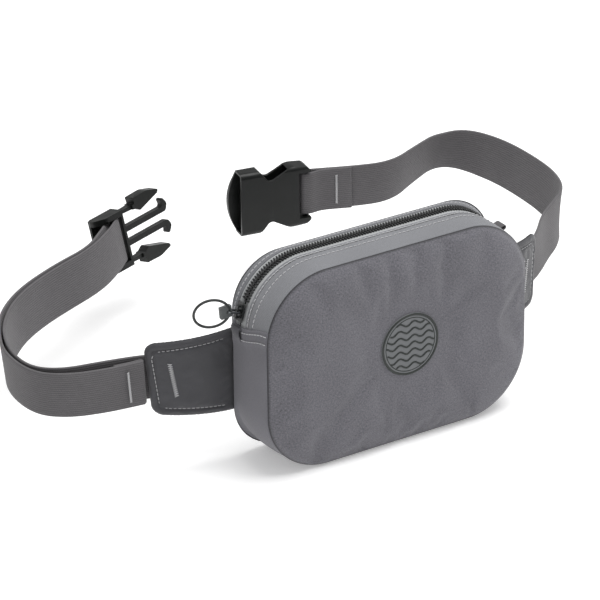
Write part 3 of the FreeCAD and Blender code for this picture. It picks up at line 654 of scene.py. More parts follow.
def evenly(path: Array, step: float) -> Array:
    """Points at even steps along a path.

    Args:
        path: points whose first three columns are positions.
        step: the wanted distance between points.

    Returns:
        The points, with all of the path's columns.
    """
    reach = np.concatenate([[0], np.cumsum(np.linalg.norm(np.diff(path[:, :3], axis=0), axis=1))])
    count = max(2, int(round(reach[-1] / step)) + 1)
    spots = np.linspace(0, reach[-1], count)
    return np.stack([np.interp(spots, reach, path[:, column]) for column in range(path.shape[1])], axis=1)


def capped(rings: Sequence[Array], sides: int) -> Faces:
    """Faces of a row of rings of points, closed at both ends."""
    last = (len(rings) - 1) * sides
    ends = [tuple(range(sides))[::-1], tuple(last + corner for corner in range(sides))]
    return grid_faces(len(rings), sides, wrap=True) + ends


def unit(rows: Array) -> Array:
    """Scale each row to a length of 1."""
    return rows / np.maximum(np.linalg.norm(rows, axis=-1, keepdims=True), 1e-12)


def tube(path: Array, radius: float, sides: int) -> tuple[Array, Faces]:
    """A closed round tube along a short path, with rounded ends.

    Args:
        path: the points of its middle line.
        radius: its radius.
        sides: how many flats make its round.

    Returns:
        Its points and faces.
    """
    ahead = unit(np.gradient(path, axis=0))
    ends = np.concatenate([[path[0] - ahead[0] * radius * 0.6], path, [path[-1] + ahead[-1] * radius * 0.6]])
    ahead = np.concatenate([[ahead[0]], ahead, [ahead[-1]]])
    sizes = np.full(len(ends), radius)
    sizes[0] = sizes[-1] = radius * 0.35
    guide = np.array([0.0, 0.0, 1.0]) if abs(ahead[0][2]) < 0.9 else np.array([1.0, 0.0, 0.0])
    side = unit(np.cross(ahead, guide))
    lift = np.cross(side, ahead)
    turns = np.linspace(0, 2 * math.pi, sides, endpoint=False)
    rings = [ends[i] + sizes[i] * (np.cos(turns)[:, None] * side[i] + np.sin(turns)[:, None] * lift[i])
             for i in range(len(ends))]
    return np.concatenate(rings), capped(rings, sides)


@dataclass
class Bundle:
    """Many small shapes gathered into one mesh."""

    points: list[Array] = field(default_factory=list)
    faces: Faces = field(default_factory=list)
    count: int = 0

    def add(self, shape: tuple[Array, Faces]) -> None:
        """Add one shape, given as its points and faces."""
        points, faces = shape
        self.points.append(points)
        self.faces.extend(tuple(corner + self.count for corner in face) for face in faces)
        self.count += len(points)

    def piece(self, name: str) -> bpy.types.Object:
        """Make the gathered shapes into one object."""
        return make_mesh(name, np.concatenate(self.points), self.faces)


@dataclass
class Stitching:
    """Rows of lockstitch and tacks, gathered as thread."""

    pitch: float = 3.4 * MM
    length: float = 2.1 * MM
    radius: float = 0.32 * MM
    points_each: int = 6
    bundle: Bundle = field(default_factory=Bundle)

    def row(self, path: Array, normals: Array) -> None:
        """Sew one row.

        Args:
            path: points along the row, on the cloth.
            normals: the cloth's outward normals there.
        """
        run = evenly(np.concatenate([path, normals], axis=1), self.pitch / self.points_each)
        span = max(3, int(round(self.points_each * self.length / self.pitch)) + 1)
        rise = np.sin(np.linspace(0, math.pi, span))[:, None] * self.radius * 0.9
        for start in range(0, len(run) - span, self.points_each):
            part = run[start:start + span]
            self.bundle.add(tube(part[:, :3] + unit(part[:, 3:]) * rise, self.radius, TUBE_SIDES))

    def zigzag(self, start: Array, end: Array, across: Array, out: Array, wide: float, pitch: float) -> None:
        """Sew a tack.

        Args:
            start: where it starts, on the cloth.
            end: where it ends.
            across: the direction of its width.
            out: the cloth's outward normal.
            wide: its width.
            pitch: the distance between its turns.
        """
        count = int(np.linalg.norm(end - start) / pitch) * 2 + 1
        shares = np.linspace(0, 1, count)[:, None]
        sides = np.where(np.arange(count) % 2 == 0, 0.5, -0.5)[:, None]
        path = start + (end - start) * shares + across * sides * wide + out * self.radius * 0.7
        for first, second in zip(path[:-1], path[1:]):
            self.bundle.add(tube(np.linspace(first, second, 3), self.radius, TUBE_SIDES))


@dataclass
class Disc:
    """A square grid of points laid over a rounded shape, finer towards its edge."""

    levels: int = 36
    crowding: float = 1.45

    def lay(self, edge: Callable[[Array], Array]) -> tuple[Array, Array, Faces]:
        """Lay the grid.

        Args:
            edge: gives points of the shape's edge from shares of its length, starting at a
                middle of a side, with the shape's corners at odd eighths of the share.

        Returns:
            The flat points, each one's level from 0 in the middle to 1 on the edge, and the quads.
        """
        size = 2 * self.levels + 1
        line = np.linspace(-1, 1, size)
        across, along = np.meshgrid(line, line, indexing="ij")
        level = np.maximum(np.abs(across), np.abs(along))
        safe = np.maximum(level, TINY)
        a, b = across / safe, along / safe
        share = np.where(
            b <= -1 + TINY, (a + 1) / 8 - 0.125,
            np.where(a >= 1 - TINY, 0.125 + (b + 1) / 8,
                     np.where(b >= 1 - TINY, 0.375 + (1 - a) / 8, 0.625 + (1 - b) / 8)))
        rim = edge(np.mod(share.ravel(), 1.0))
        middle = rim.mean(axis=0)
        shrink = (1 - (1 - level.ravel()) ** self.crowding)[:, None]
        points = middle + (rim - middle) * shrink
        return points, level.ravel(), grid_faces(size, size)


def rounded(half_wide: float, half_tall: float, corner: float) -> Callable[[Array], Array]:
    """The edge of a rounded rectangle about the origin, for Disc.

    Args:
        half_wide: half its width.
        half_tall: half its height.
        corner: its corners' radius.

    Returns:
        A function from shares to edge points, starting at the middle of the lower side.
    """
    corner = min(corner, half_wide, half_tall)
    arc = math.pi / 4 * corner
    sides = [half_wide - corner, half_tall - corner]
    signs = [(1, -1), (1, -1), (1, 1), (1, 1), (-1, 1), (-1, 1), (-1, -1), (-1, -1)]

    def edge(share: Array) -> Array:
        """Edge points at these shares."""
        octant = np.floor(share * 8).astype(int) % 8
        inside = share * 8 - np.floor(share * 8)
        found = np.zeros((len(share), 2))
        for number in range(8):
            chosen = octant == number
            horizontal = (number + 1) // 2 % 2 == 0
            side = sides[0 if horizontal else 1]
            forward = number % 2 == 0
            run = (inside[chosen] if forward else 1 - inside[chosen]) * (side + arc)
            turn = np.clip(run - side, 0, None) / corner
            beside = np.minimum(run, side) + corner * np.sin(turn)
            other = (half_tall if horizontal else half_wide) - corner * (1 - np.cos(turn))
            x, z = (beside, other) if horizontal else (other, beside)
            found[chosen, 0] = x * signs[number][0]
            found[chosen, 1] = z * signs[number][1]
        return found

    return edge


def inside_depth(points: Array, half_wide: float, half_tall: float, corner: float) -> Array:
    """How far points lie inside a rounded rectangle about the origin."""
    away = np.abs(points) - np.array([half_wide - corner, half_tall - corner])
    outer = np.linalg.norm(np.maximum(away, 0), axis=1)
    return corner - outer - np.minimum(np.max(away, axis=1), 0)


def hump(value: Array, middle: float, width: float) -> Array:
    """A smooth bump of height 1 about a middle."""
    return np.exp(-((value - middle) / width) ** 2)


def ripple(across: Array, along: Array, seed: int, wave: float) -> Array:
    """Smooth unevenness from -1 to 1.

    Args:
        across: first coordinates, in metres.
        along: second coordinates.
        seed: which pattern.
        wave: its rough wavelength in metres.

    Returns:
        A value for each point.
    """
    source = np.random.RandomState(seed)
    total = np.zeros_like(across, dtype=float)
    for _ in range(6):
        heading = source.uniform(0, math.pi)
        rate = 2 * math.pi / (wave * source.uniform(0.7, 1.6))
        phase = source.uniform(0, 2 * math.pi)
        total = total + np.sin((across * math.cos(heading) + along * math.sin(heading)) * rate + phase)
    return total / 3.2


def settle(piece: bpy.types.Object, held: Array, pressure: float, swell: float, limit: Array) -> None:
    """Let a piece of cloth find its shape by simulation, and apply the result.

    Args:
        piece: the cloth's mesh object.
        held: how firmly each point is sewn, from 0 to 1.
        pressure: the pressure behind it.
        swell: how much larger than its place it was cut.
        limit: how far each point may move, in metres.
    """
    scene = bpy.context.scene
    group = piece.vertex_groups.new(name="held")
    for number, weight in enumerate(held):
        if weight > 0:
            group.add([number], float(weight), "REPLACE")
    start = np.array([vertex.co for vertex in piece.data.vertices])
    cloth = piece.modifiers.new("cloth", "CLOTH")
    chosen = {"vertex_group_mass": "held", "quality": 5, "mass": 0.25, "tension_stiffness": 12,
              "compression_stiffness": 12, "bending_stiffness": 0.8, "use_pressure": True,
              "uniform_pressure_force": pressure, "shrink_min": -swell}
    for name, value in chosen.items():
        setattr(cloth.settings, name, value)
    cloth.settings.effector_weights.gravity = 0
    cloth.point_cache.frame_start, cloth.point_cache.frame_end = 1, CLOTH_FRAMES
    for number in range(1, CLOTH_FRAMES + 1):
        scene.frame_set(number)
    shaped = piece.evaluated_get(bpy.context.evaluated_depsgraph_get()).to_mesh()
    end = np.array([vertex.co for vertex in shaped.vertices])
    piece.modifiers.remove(cloth)
    piece.vertex_groups.remove(group)
    scene.frame_set(1)
    move = end - start
    far = np.linalg.norm(move, axis=1, keepdims=True)
    kept = move * np.minimum(1, limit[:, None] / np.maximum(far, TINY))
    for vertex, place in zip(piece.data.vertices, start + kept):
        vertex.co = place
    piece.data.update()
    LOG.info("%s settled, moving up to %.1f mm", piece.name, far.max() / MM)


# ---------------------------------------------------------------- the bag


@dataclass
class Shell:
    """The bag's skin as one surface: a share of the way round, and a depth from front to back."""

    half_wide: float = 100 * MM
    height: float = 140 * MM
    front: float = -21.5 * MM
    rear: float = 21.5 * MM
    corner: float = 45 * MM
    rear_corner: float = 36 * MM
    hem_front: float = 106 * MM
    hem_rear: float = 98 * MM
    rear_seam: float = 0.9 * MM

    def corner_at(self, depth: Array) -> Array:
        """The corner's radius: it tightens behind the zip."""
        return self.corner - (self.corner - self.rear_corner) * smooth_step(depth, 16.5 * MM, 23 * MM)

    def breaks(self) -> Array:
        """Shares of the way round at which the sides and corners meet, from the underside's middle."""
        flat = self.half_wide - self.corner
        side = self.height - 2 * self.corner
        arc = math.pi / 2 * self.corner
        runs = [0, flat, arc, side, arc, 2 * flat, arc, side, arc, flat]
        return np.cumsum(runs) / sum(runs)

    def around(self) -> float:
        """The whole way round, in metres."""
        flats = 4 * (self.half_wide - self.corner) + 2 * (self.height - 2 * self.corner)
        return flats + 2 * math.pi * self.corner

    def outline(self, share: Array, corner: Array) -> tuple[Array, Array]:
        """Points and outward normals of the outline, in the X-Z plane.

        Args:
            share: how far round, from 0 to 1, over the left side first.
            corner: the corner radius for each point.

        Returns:
            The points and the normals, two columns each.
        """
        marks = self.breaks()
        flat, tall = self.half_wide - corner, self.height - corner
        spots = np.zeros((len(share), 2))
        out = np.zeros((len(share), 2))
        straight = {0: ((0, 0), (-1, 0)), 2: ((-1, 1), (-1, 2)), 4: ((-1, 3), (1, 3)),
                    6: ((1, 2), (1, 1)), 8: ((1, 0), (0, 0))}
        heights = {0: np.zeros_like(corner), 1: corner, 2: tall, 3: np.full_like(corner, self.height)}
        for part in range(9):
            chosen = (share >= marks[part]) & (share <= marks[part + 1])
            run = ((share - marks[part]) / (marks[part + 1] - marks[part]))[chosen]
            if part in straight:
                ends = []
                for sideways, level in straight[part]:
                    wide = self.half_wide if part in (2, 6) else flat[chosen]
                    ends.append(np.stack([sideways * wide + 0 * run, heights[level][chosen]], axis=1))
                spots[chosen] = ends[0] + (ends[1] - ends[0]) * run[:, None]
                out[chosen] = {0: (0, -1), 2: (-1, 0), 4: (0, 1), 6: (1, 0), 8: (0, -1)}[part]
                continue
            start = {1: 270, 3: 180, 5: 90, 7: 0}[part]
            turn = np.radians(start - 90 * run)
            facing = np.stack([np.cos(turn), np.sin(turn)], axis=1)
            left = part in (1, 3)
            middle = np.stack([(-flat if left else flat)[chosen],
                               (tall if part in (3, 5) else corner)[chosen]], axis=1)
            spots[chosen] = middle + facing * corner[chosen][:, None]
            out[chosen] = facing
        return spots, out

    def at(self, share: Array, depth: Array, lift: Array | float = 0.0) -> tuple[Array, Array]:
        """Points and normals of the skin.

        Args:
            share: how far round; shares below 0 wrap.
            depth: position from front to back.
            lift: height over the skin.

        Returns:
            The points and the normals, three columns each.
        """
        turned = np.mod(share, 1.0)
        spots, out = self.outline(turned, self.corner_at(depth))
        middle = (depth - self.front) / (self.rear - self.front)
        low = 1 - smooth_step(spots[:, 1], 88 * MM, 104 * MM)
        bulge = 1.3 * MM * np.sin(np.clip(middle, 0, 1) * math.pi) * low
        uneven = ripple(turned * self.around(), depth, 5, 70 * MM) * 0.45 * MM * low
        crown = 0.5 * MM * np.sin(np.clip((depth - self.front) / (24 * MM), 0, 1) * math.pi) * (1 - low)
        front_seam = hump(depth, self.front, 0.9 * MM)
        rear_seam = hump(depth, self.rear + self.rear_seam, 0.8 * MM)
        over = lift + bulge + uneven + crown - 1.1 * MM * (front_seam + rear_seam)
        flat = spots + out * over[:, None]
        points = np.stack([flat[:, 0], depth, flat[:, 1]], axis=1)
        normals = np.stack([out[:, 0], 0 * depth, out[:, 1]], axis=1)
        return points, normals

    def seam_shade(self, depth: Array) -> Array:
        """How much painted shade the skin gets next to the seams."""
        near = np.minimum(np.abs(depth - self.front), np.abs(depth - self.rear - self.rear_seam))
        return np.clip(1 - near / (1.1 * MM), 0, 1) ** 1.5

    def hem_share(self, depth: Array, below: float = 0.0) -> Array:
        """Share of the way round, up the left side, where the gusset's hem lies.

        Args:
            depth: positions from front to back.
            below: how far under the hem, in metres.

        Returns:
            The shares; the right side's are their negatives.
        """
        level = self.hem_front + (self.hem_rear - self.hem_front) * smooth_step(depth, self.front, 12 * MM)
        marks = self.breaks()
        corner = self.corner_at(depth)
        rise = np.clip((level - (self.height - corner)) / corner, -1, 1)
        turn = np.degrees(np.arcsin(np.clip(rise, 0, 1)))
        up = marks[3] + turn / 90 * (marks[4] - marks[3])
        down = marks[3] + (level - (self.height - corner)) / self.around()
        return np.where(rise > 0, up, down) - below / self.around()


@dataclass
class BagShell:
    """The bag's cloth: front and back panels, gusset, zip bands, and their stitching."""

    shell: Shell = field(default_factory=Shell)
    crown: float = 6.4 * MM
    crown_reach: float = 27 * MM
    patch_middle: tuple[float, float] = (4 * MM, 73 * MM)
    patch_hold: float = 24 * MM
    back_crown: float = 1.6 * MM
    quilt_inset: float = 12 * MM
    pinned: float = 0.955
    zip_edge: float = 6 * MM
    rows_front: tuple[float, float] = (3.2 * MM, -3.4 * MM)
    front_edge: tuple[float, ...] = (-21.5, -21.2, -20.7, -20, -19)
    band_steps: int = 190
    hem_tuck: float = 6 * MM
    stitches: Stitching = field(default_factory=Stitching)

    def build(self) -> None:
        """Build and dress all of the bag's cloth."""
        self.front_panel()
        self.back_panel()
        self.gusset()
        self.front_band()
        self.rear_band()
        thread = self.stitches.bundle.piece("bag_stitching")
        Wardrobe.dress(thread, "thread")
        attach(thread, "bag")
        LOG.info("bag cloth built")

    def panel(self, name: str, levels: int) -> tuple[Array, Array, Faces, Array]:
        """Lay the grid shared by the front and back panels.

        Args:
            name: "front" or "back", which sets the corners' radius.
            levels: how fine the grid is.

        Returns:
            Flat points about the panel's middle, levels, quads and depths inside the edge.
        """
        wide, tall = self.shell.half_wide, self.shell.height / 2
        corner = self.shell.corner if name == "front" else self.shell.rear_corner
        points, level, faces = Disc(levels=levels).lay(rounded(wide, tall, corner))
        deep = inside_depth(points, wide, tall, corner)
        return points, level, faces, np.maximum(deep, 0)

    def front_panel(self) -> None:
        """The crowned front panel, with soft puckers under its upper seam."""
        flat, level, faces, deep = self.panel("front", 46)
        height = self.shell.height / 2
        rise = self.crown * (1 - (1 - np.minimum(deep / self.crown_reach, 1)) ** 2.3)
        edge = 0.9 * MM * np.exp(-deep / (0.5 * MM))
        from_top = height - flat[:, 1]
        pucker = hump(from_top, 17 * MM, 11 * MM) * np.exp(-((flat[:, 0] - 8 * MM) / (52 * MM)) ** 4)
        bends = flat[:, 0] / (24 * MM) * math.pi + 0.6 * np.sin(flat[:, 0] / (15 * MM))
        folds = -np.abs(np.sin(bends)) ** 3
        uneven = ripple(flat[:, 0], flat[:, 1], 11, 55 * MM) * 0.35 * MM * smooth_step(deep, 3 * MM, 25 * MM)
        out = rise - edge + pucker * (folds + 0.35) * 1.5 * MM + uneven
        from_patch = np.hypot(flat[:, 0] - self.patch_middle[0], flat[:, 1] + height - self.patch_middle[1])
        calm = 1 - smooth_step(from_patch, self.patch_hold, self.patch_hold + 14 * MM)
        out = out * (1 - calm) + (self.crown + 0.05 * MM) * calm
        points = np.stack([flat[:, 0], self.shell.front - out, flat[:, 1] + height], axis=1)
        # Painted shade along the panel's edge, where its seam turns in.
        shade = np.clip(1 - deep / (1.3 * MM), 0, 1)
        piece = make_mesh("front_panel_cloth", points, [face[::-1] for face in faces], flat, shade)
        self.face_outwards(piece, Vector((0, -1, 0)))
        held = np.maximum(np.where(level > self.pinned, 1.0, 0.0), calm)
        room = 2.4 * MM * smooth_step(deep, 1 * MM, 9 * MM) * (1 - calm)
        settle(piece, held, 2.0, 0.018, room)
        Wardrobe.dress(piece, "panel")
        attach(piece, "bag")
        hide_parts("front_panel")
        LOG.info("front panel built")

    def back_panel(self) -> None:
        """The padded back panel, with a quilted line inside its edge."""
        flat, level, faces, deep = self.panel("back", 36)
        height = self.shell.height / 2
        rise = self.back_crown * (1 - (1 - np.minimum(deep / (9 * MM), 1)) ** 2.5)
        channel = hump(deep, self.quilt_inset, 1.6 * MM) * 1.1 * MM
        uneven = ripple(flat[:, 0], flat[:, 1], 23, 60 * MM) * 0.3 * MM * smooth_step(deep, 3 * MM, 20 * MM)
        out = 0.3 * MM + rise - channel + uneven - 0.9 * MM * np.exp(-deep / (0.5 * MM))
        points = np.stack([flat[:, 0], 23 * MM + out - 0.9 * MM, flat[:, 1] + height], axis=1)
        # Painted shade along the panel's edge, where its seam turns in.
        shade = np.clip(1 - deep / (1.3 * MM), 0, 1)
        piece = make_mesh("back_panel_cloth", points, faces, flat, shade)
        self.face_outwards(piece, Vector((0, 1, 0)))
        quilted = np.abs(deep - self.quilt_inset) < 1.0 * MM
        held = np.where((level > self.pinned) | quilted, 1.0, 0.0)
        settle(piece, held, 1.2, 0.008, 1.0 * MM * smooth_step(deep, 1 * MM, 6 * MM))
        Wardrobe.dress(piece, "panel")
        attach(piece, "bag")
        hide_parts("back_panel")
        inset, count = self.quilt_inset, 400
        edge = rounded(self.shell.half_wide - inset, height - inset, self.shell.rear_corner - inset)
        spots = edge(np.linspace(0, 0.9999, count))
        path = np.stack([spots[:, 0], np.full(count, 23.45 * MM), spots[:, 1] + height], axis=1)
        self.stitches.row(path, np.tile([0.0, 1.0, 0.0], (count, 1)))

    def face_outwards(self, piece: bpy.types.Object, out: Vector) -> None:
        """Turn all faces of a panel the same way, by its average normal."""
        total = sum((polygon.normal * polygon.area for polygon in piece.data.polygons), Vector())
        if total.dot(out) < 0:
            piece.data.flip_normals()

    def skin(self, name: str, shares: Array, depths: Array, lift: Array, finish: str, hides: str,
             shade: Array) -> None:
        """Build one piece of the shell from a grid of shares and depths.

        Args:
            name: the piece's name.
            shares: shares round, one row for each step along the piece.
            depths: depths, in the same grid.
            lift: lifts over the skin, in the same grid.
            finish: the finish's name.
            hides: the CAD node that it stands for.
            shade: painted shade added to the seams' own painted shade.
        """
        rows, columns = shares.shape
        points, _ = self.shell.at(shares.ravel(), depths.ravel(), lift.ravel())
        uv = np.stack([shares.ravel() * self.shell.around(), depths.ravel()], axis=1)
        # Painted shade: the seams' own and the piece's own, whichever is stronger.
        painted_shade = np.maximum(self.shell.seam_shade(depths.ravel()), shade.ravel())
        piece = make_mesh(name, points, grid_faces(rows, columns), uv, painted_shade)
        Wardrobe.dress(piece, finish)
        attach(piece, "bag")
        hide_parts(hides)

    def gusset(self) -> None:
        """The lower gusset, its upper ends hemmed over the zip bands."""
        depth = np.concatenate([self.front_edge, np.linspace(-17, 17, 22), [18.5, 20, 21, 21.6, 22.2]]) * MM
        steps = np.array([0, 0, 0.25, 0.7, 1.4, 3, 5, 7.5, 9, 10.5, 12.5]) * MM
        lifts = np.array([-0.9, 0.2, 0.75, 0.95, 1.0, 0.85, 0.9, 0.7, 0.8, 0.35, 0.0]) * MM
        hem = self.shell.hem_share(depth)
        down = steps / self.shell.around()
        upper = hem[None, :] - down[:, None]
        middle = np.linspace(1, -1, 170)[1:-1, None] * upper[-1][None, :]
        shares = np.concatenate([upper, middle, -upper[::-1]])
        raised = np.concatenate([lifts, np.zeros(len(middle)), lifts[::-1]])
        seam = np.clip((depth - self.shell.front) / (1.5 * MM), 0.0, 1.0)
        lift = raised[:, None] * seam[None, :]
        # Painted shade along the gusset's hemmed upper edges on both sides.
        shade = np.zeros_like(lift)
        shade[0], shade[-1] = 1.0, 1.0
        depths = np.tile(depth, (len(shares), 1))
        self.skin("lower_gusset_cloth", shares, depths, lift, "gusset", "lower_gusset", shade)
        across = np.linspace(-20 * MM, 20.5 * MM, 60)
        for below in (3.0 * MM, 8.2 * MM):
            for side in (1, -1):
                share = self.shell.hem_share(across, below) * side
                self.stitches.row(*self.shell.at(share, across, 0.9 * MM))

    def over_the_top(self, depths: Array) -> Array:
        """A grid of shares of a band that runs from hem to hem over the top, at its depths."""
        start = self.shell.hem_share(depths, self.hem_tuck)
        return start[None, :] + np.linspace(0, 1, self.band_steps)[:, None] * (1 - 2 * start)[None, :]

    def front_band(self) -> None:
        """The wide band in front of the zip, with its folded edge and two rows of stitches."""
        edge = self.zip_edge / MM
        depth = np.concatenate([self.front_edge, np.linspace(-17.5, 4.4, 26),
                                [edge - 0.9, edge - 0.4, edge - 0.1, edge, edge - 0.05, edge - 0.3]]) * MM
        lifts = -0.55 * MM * smooth_step(depth, -1 * MM, 5 * MM)
        lifts[-6:] += np.array([0.25, 0.3, 0.22, 0.0, -0.3, -0.45]) * MM
        for row in self.rows_front:
            lifts -= 0.28 * MM * hump(depth, row, 0.9 * MM)
        shares = self.over_the_top(depth)
        lift = np.tile(lifts, (len(shares), 1))
        run = shares * self.shell.around()
        pucker = hump(depth, 5 * MM, 7 * MM)[None, :] * ripple(run, 0 * run, 31, 16 * MM) * 0.12 * MM
        lift = lift + pucker * (np.abs(depth - self.zip_edge) > 1.2 * MM)[None, :]
        # Painted shade on the band's last rows, where its edge folds under beside the zip.
        shade = np.zeros_like(lift)
        shade[:, -2:] = 0.8
        depths = np.tile(depth, (len(shares), 1))
        self.skin("front_zip_band_cloth", shares, depths, lift, "band", "front_zip_band", shade)
        for row in self.rows_front:
            self.top_row(row)

    def rear_band(self) -> None:
        """The narrow band behind the zip."""
        depth = np.array([18.35, 18.05, 18.0, 18.1, 18.4, 18.9, 19.4, 19.9, 20.4, 20.9, 21.3, 21.7, 22.1,
                          22.5, 22.8]) * MM
        lifts = np.array([-1.0, -0.8, -0.4, -0.1, 0.1, 0.1, 0.0, 0.1, 0.15, 0.1, 0.05, 0, 0, 0, -0.3]) * MM
        shares = self.over_the_top(depth)
        # Painted shade on the band's first rows, where its edge turns down beside the zip.
        shade = np.zeros((len(shares), len(depth)))
        shade[:, :2] = 0.8
        self.skin("rear_zip_band_cloth", shares, np.tile(depth, (len(shares), 1)),
                  np.tile(lifts, (len(shares), 1)), "band", "rear_zip_band", shade)
        self.top_row(19.6 * MM)

    def top_row(self, depth: float) -> None:
        """Sew a row along the zip at a depth, from hem to hem."""
        count = 300
        here = np.full(count, depth)
        start = self.shell.hem_share(here, -1.5 * MM)
        shares = start + np.linspace(0, 1, count) * (1 - 2 * start)
        self.stitches.row(*self.shell.at(shares, here, -0.12 * MM))


@dataclass
class Zip:
    """Tapes, moulded teeth and the folded tabs at the ends of the chain."""

    shell: Shell = field(default_factory=Shell)
    pitch: float = 2.1 * MM
    sink: float = 0.6 * MM
    tooth_lift: float = 0.1 * MM
    tooth_lean: float = math.radians(14)

    def build(self) -> None:
        """Build and dress the zip."""
        self.tape("zip_tape_front_ribbon", 3.5 * MM, 11.4 * MM, "zip_tape_front")
        self.tape("zip_tape_rear_ribbon", 12.6 * MM, 20.5 * MM, "zip_tape_rear")
        self.teeth("zip_teeth_front", 10.55 * MM, -1, 0.0, "zip_chain_front")
        self.teeth("zip_teeth_rear", 13.45 * MM, 1, 0.5, "zip_chain_rear")
        self.left_tab()
        self.right_tab()
        LOG.info("zip built")

    def span(self, start: float, end: float) -> tuple[float, float]:
        """Shares round of the chain's ends, from heights on the left and right sides."""
        marks = self.shell.breaks()
        shares = []
        for level in (start, end):
            rise = (level - (self.shell.height - self.shell.corner)) / self.shell.corner
            shares.append(marks[3] + math.degrees(math.asin(rise)) / 90 * (marks[4] - marks[3]))
        return shares[0], 1 - shares[1]

    def tape(self, name: str, low: float, high: float, hides: str) -> None:
        """One ribbed tape, sunk under the bands.

        Args:
            name: its name.
            low: its front edge.
            high: its rear edge.
            hides: the CAD node that it stands for.
        """
        depth = np.linspace(low, high, 8)
        first, last = self.span(96 * MM, 108 * MM)
        shares = np.linspace(first, last, 200)
        grid = np.repeat(shares[:, None], len(depth), axis=1)
        deep = np.tile(depth, (len(shares), 1))
        points, _ = self.shell.at(grid.ravel(), deep.ravel(), -self.sink)
        uv = np.stack([deep.ravel(), grid.ravel() * self.shell.around()], axis=1)
        piece = make_mesh(name, points, grid_faces(*grid.shape), uv)
        Wardrobe.dress(piece, "tape")
        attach(piece, "bag")
        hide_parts(hides)

    def tooth(self, facing: int) -> tuple[Array, Faces]:
        """One tooth: a rounded bar with a wider head, along the first axis.

        Args:
            facing: which way its foot points, -1 to the front.

        Returns:
            Its points, as (along the chain, across it, up), and faces.
        """
        stations = np.array([-2.25, -2.1, -1.2, 0.2, 1.2, 1.9, 2.1]) * MM
        widths = np.array([0.2, 0.62, 0.68, 0.46, 0.58, 0.54, 0.2]) * MM
        heights = np.array([0.2, 0.62, 0.8, 0.8, 0.74, 0.55, 0.15]) * MM
        sides = 8
        turns = np.linspace(0, 2 * math.pi, sides, endpoint=False)
        rings = []
        for station, wide, tall in zip(stations, widths, heights):
            round_x = np.sign(np.cos(turns)) * np.abs(np.cos(turns)) ** 0.7 * wide
            round_z = np.sign(np.sin(turns)) * np.abs(np.sin(turns)) ** 0.7 * tall
            rings.append(np.stack([round_x, np.full(sides, -station * facing), round_z], axis=1))
        return np.concatenate(rings), capped(rings, sides)

    def teeth(self, name: str, depth: float, facing: int, phase: float, hides: str) -> None:
        """One side of the chain.

        Args:
            name: its name.
            depth: the middle of its teeth.
            facing: which way the teeth's feet point.
            phase: its start along the chain, in pitches.
            hides: the CAD node that it stands for.
        """
        template, faces = self.tooth(facing)
        first, last = self.span(115 * MM, 116 * MM)
        total = (last - first) * self.shell.around()
        count = int(total / self.pitch)
        bundle = Bundle()
        for number in range(count):
            share = np.array([first + (number + phase) * self.pitch / self.shell.around()])
            spot, out = self.shell.at(share, np.array([depth]), self.tooth_lift)
            ahead = np.array([out[0][2], 0.0, -out[0][0]])
            lean = self.tooth_lean * facing
            across = np.array([0.0, 1.0, 0.0]) * math.cos(lean) + ahead * math.sin(lean)
            along = np.cross(across, out[0])
            placed = spot[0] + template[:, :1] * along + template[:, 1:2] * across + template[:, 2:] * out[0]
            bundle.add((placed, faces))
        piece = bundle.piece(name)
        Wardrobe.dress(piece, "teeth")
        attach(piece, "bag")
        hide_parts(hides)

    def left_tab(self) -> None:
        """The small folded tab under the slider."""
        low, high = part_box("zip_end_tab_left")
        middle = (low.y + high.y) / 2
        wall = -self.shell.half_wide
        route = np.array([(0.2, 88.0), (-0.9, 93.5), (-1.4, 97.4), (-2.6, 98.6), (-3.9, 97.2), (-3.4, 93.2),
                          (-1.6, 89.6), (-1.2, 88.8)])
        controls = np.stack([wall + route[:, 0] * MM, np.full(len(route), middle), route[:, 1] * MM], axis=1)
        wide = np.tile([0.0, 1.0, 0.12], (len(controls), 1))
        ribbon = Ribbon("zip_end_tab_left_fold", controls, wide, 9 * MM, 0.7 * MM, step=0.5 * MM)
        ribbon.make("tab", "bag", ["zip_end_tab_left"])

    def right_tab(self) -> None:
        """The small loop at the other end of the chain."""
        low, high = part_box("zip_end_tab_right")
        middle = (low.y + high.y) / 2
        turn = math.radians(24)
        out = np.array([math.cos(turn), 0.0, math.sin(turn)])
        up = np.array([-math.sin(turn), 0.0, math.cos(turn)])
        corner = self.shell.corner
        centre = np.array([self.shell.half_wide - corner, middle, self.shell.height - corner])
        route = np.array([(43.0, 0.9), (47.0, 1.5), (51.0, 1.6), (53.4, 1.2), (54.0, 0.0), (53.4, -1.2),
                          (51.0, -1.5), (47.0, -1.1), (43.0, -0.9)])
        controls = centre + route[:, :1] * MM * out + route[:, 1:] * MM * up
        wide = np.tile([0.0, 1.0, 0.0], (len(controls), 1))
        ribbon = Ribbon("zip_end_tab_right_loop", controls, wide, 8.5 * MM, 0.8 * MM, step=0.5 * MM)
        ribbon.make("webbing", "bag", ["zip_end_tab_right"])


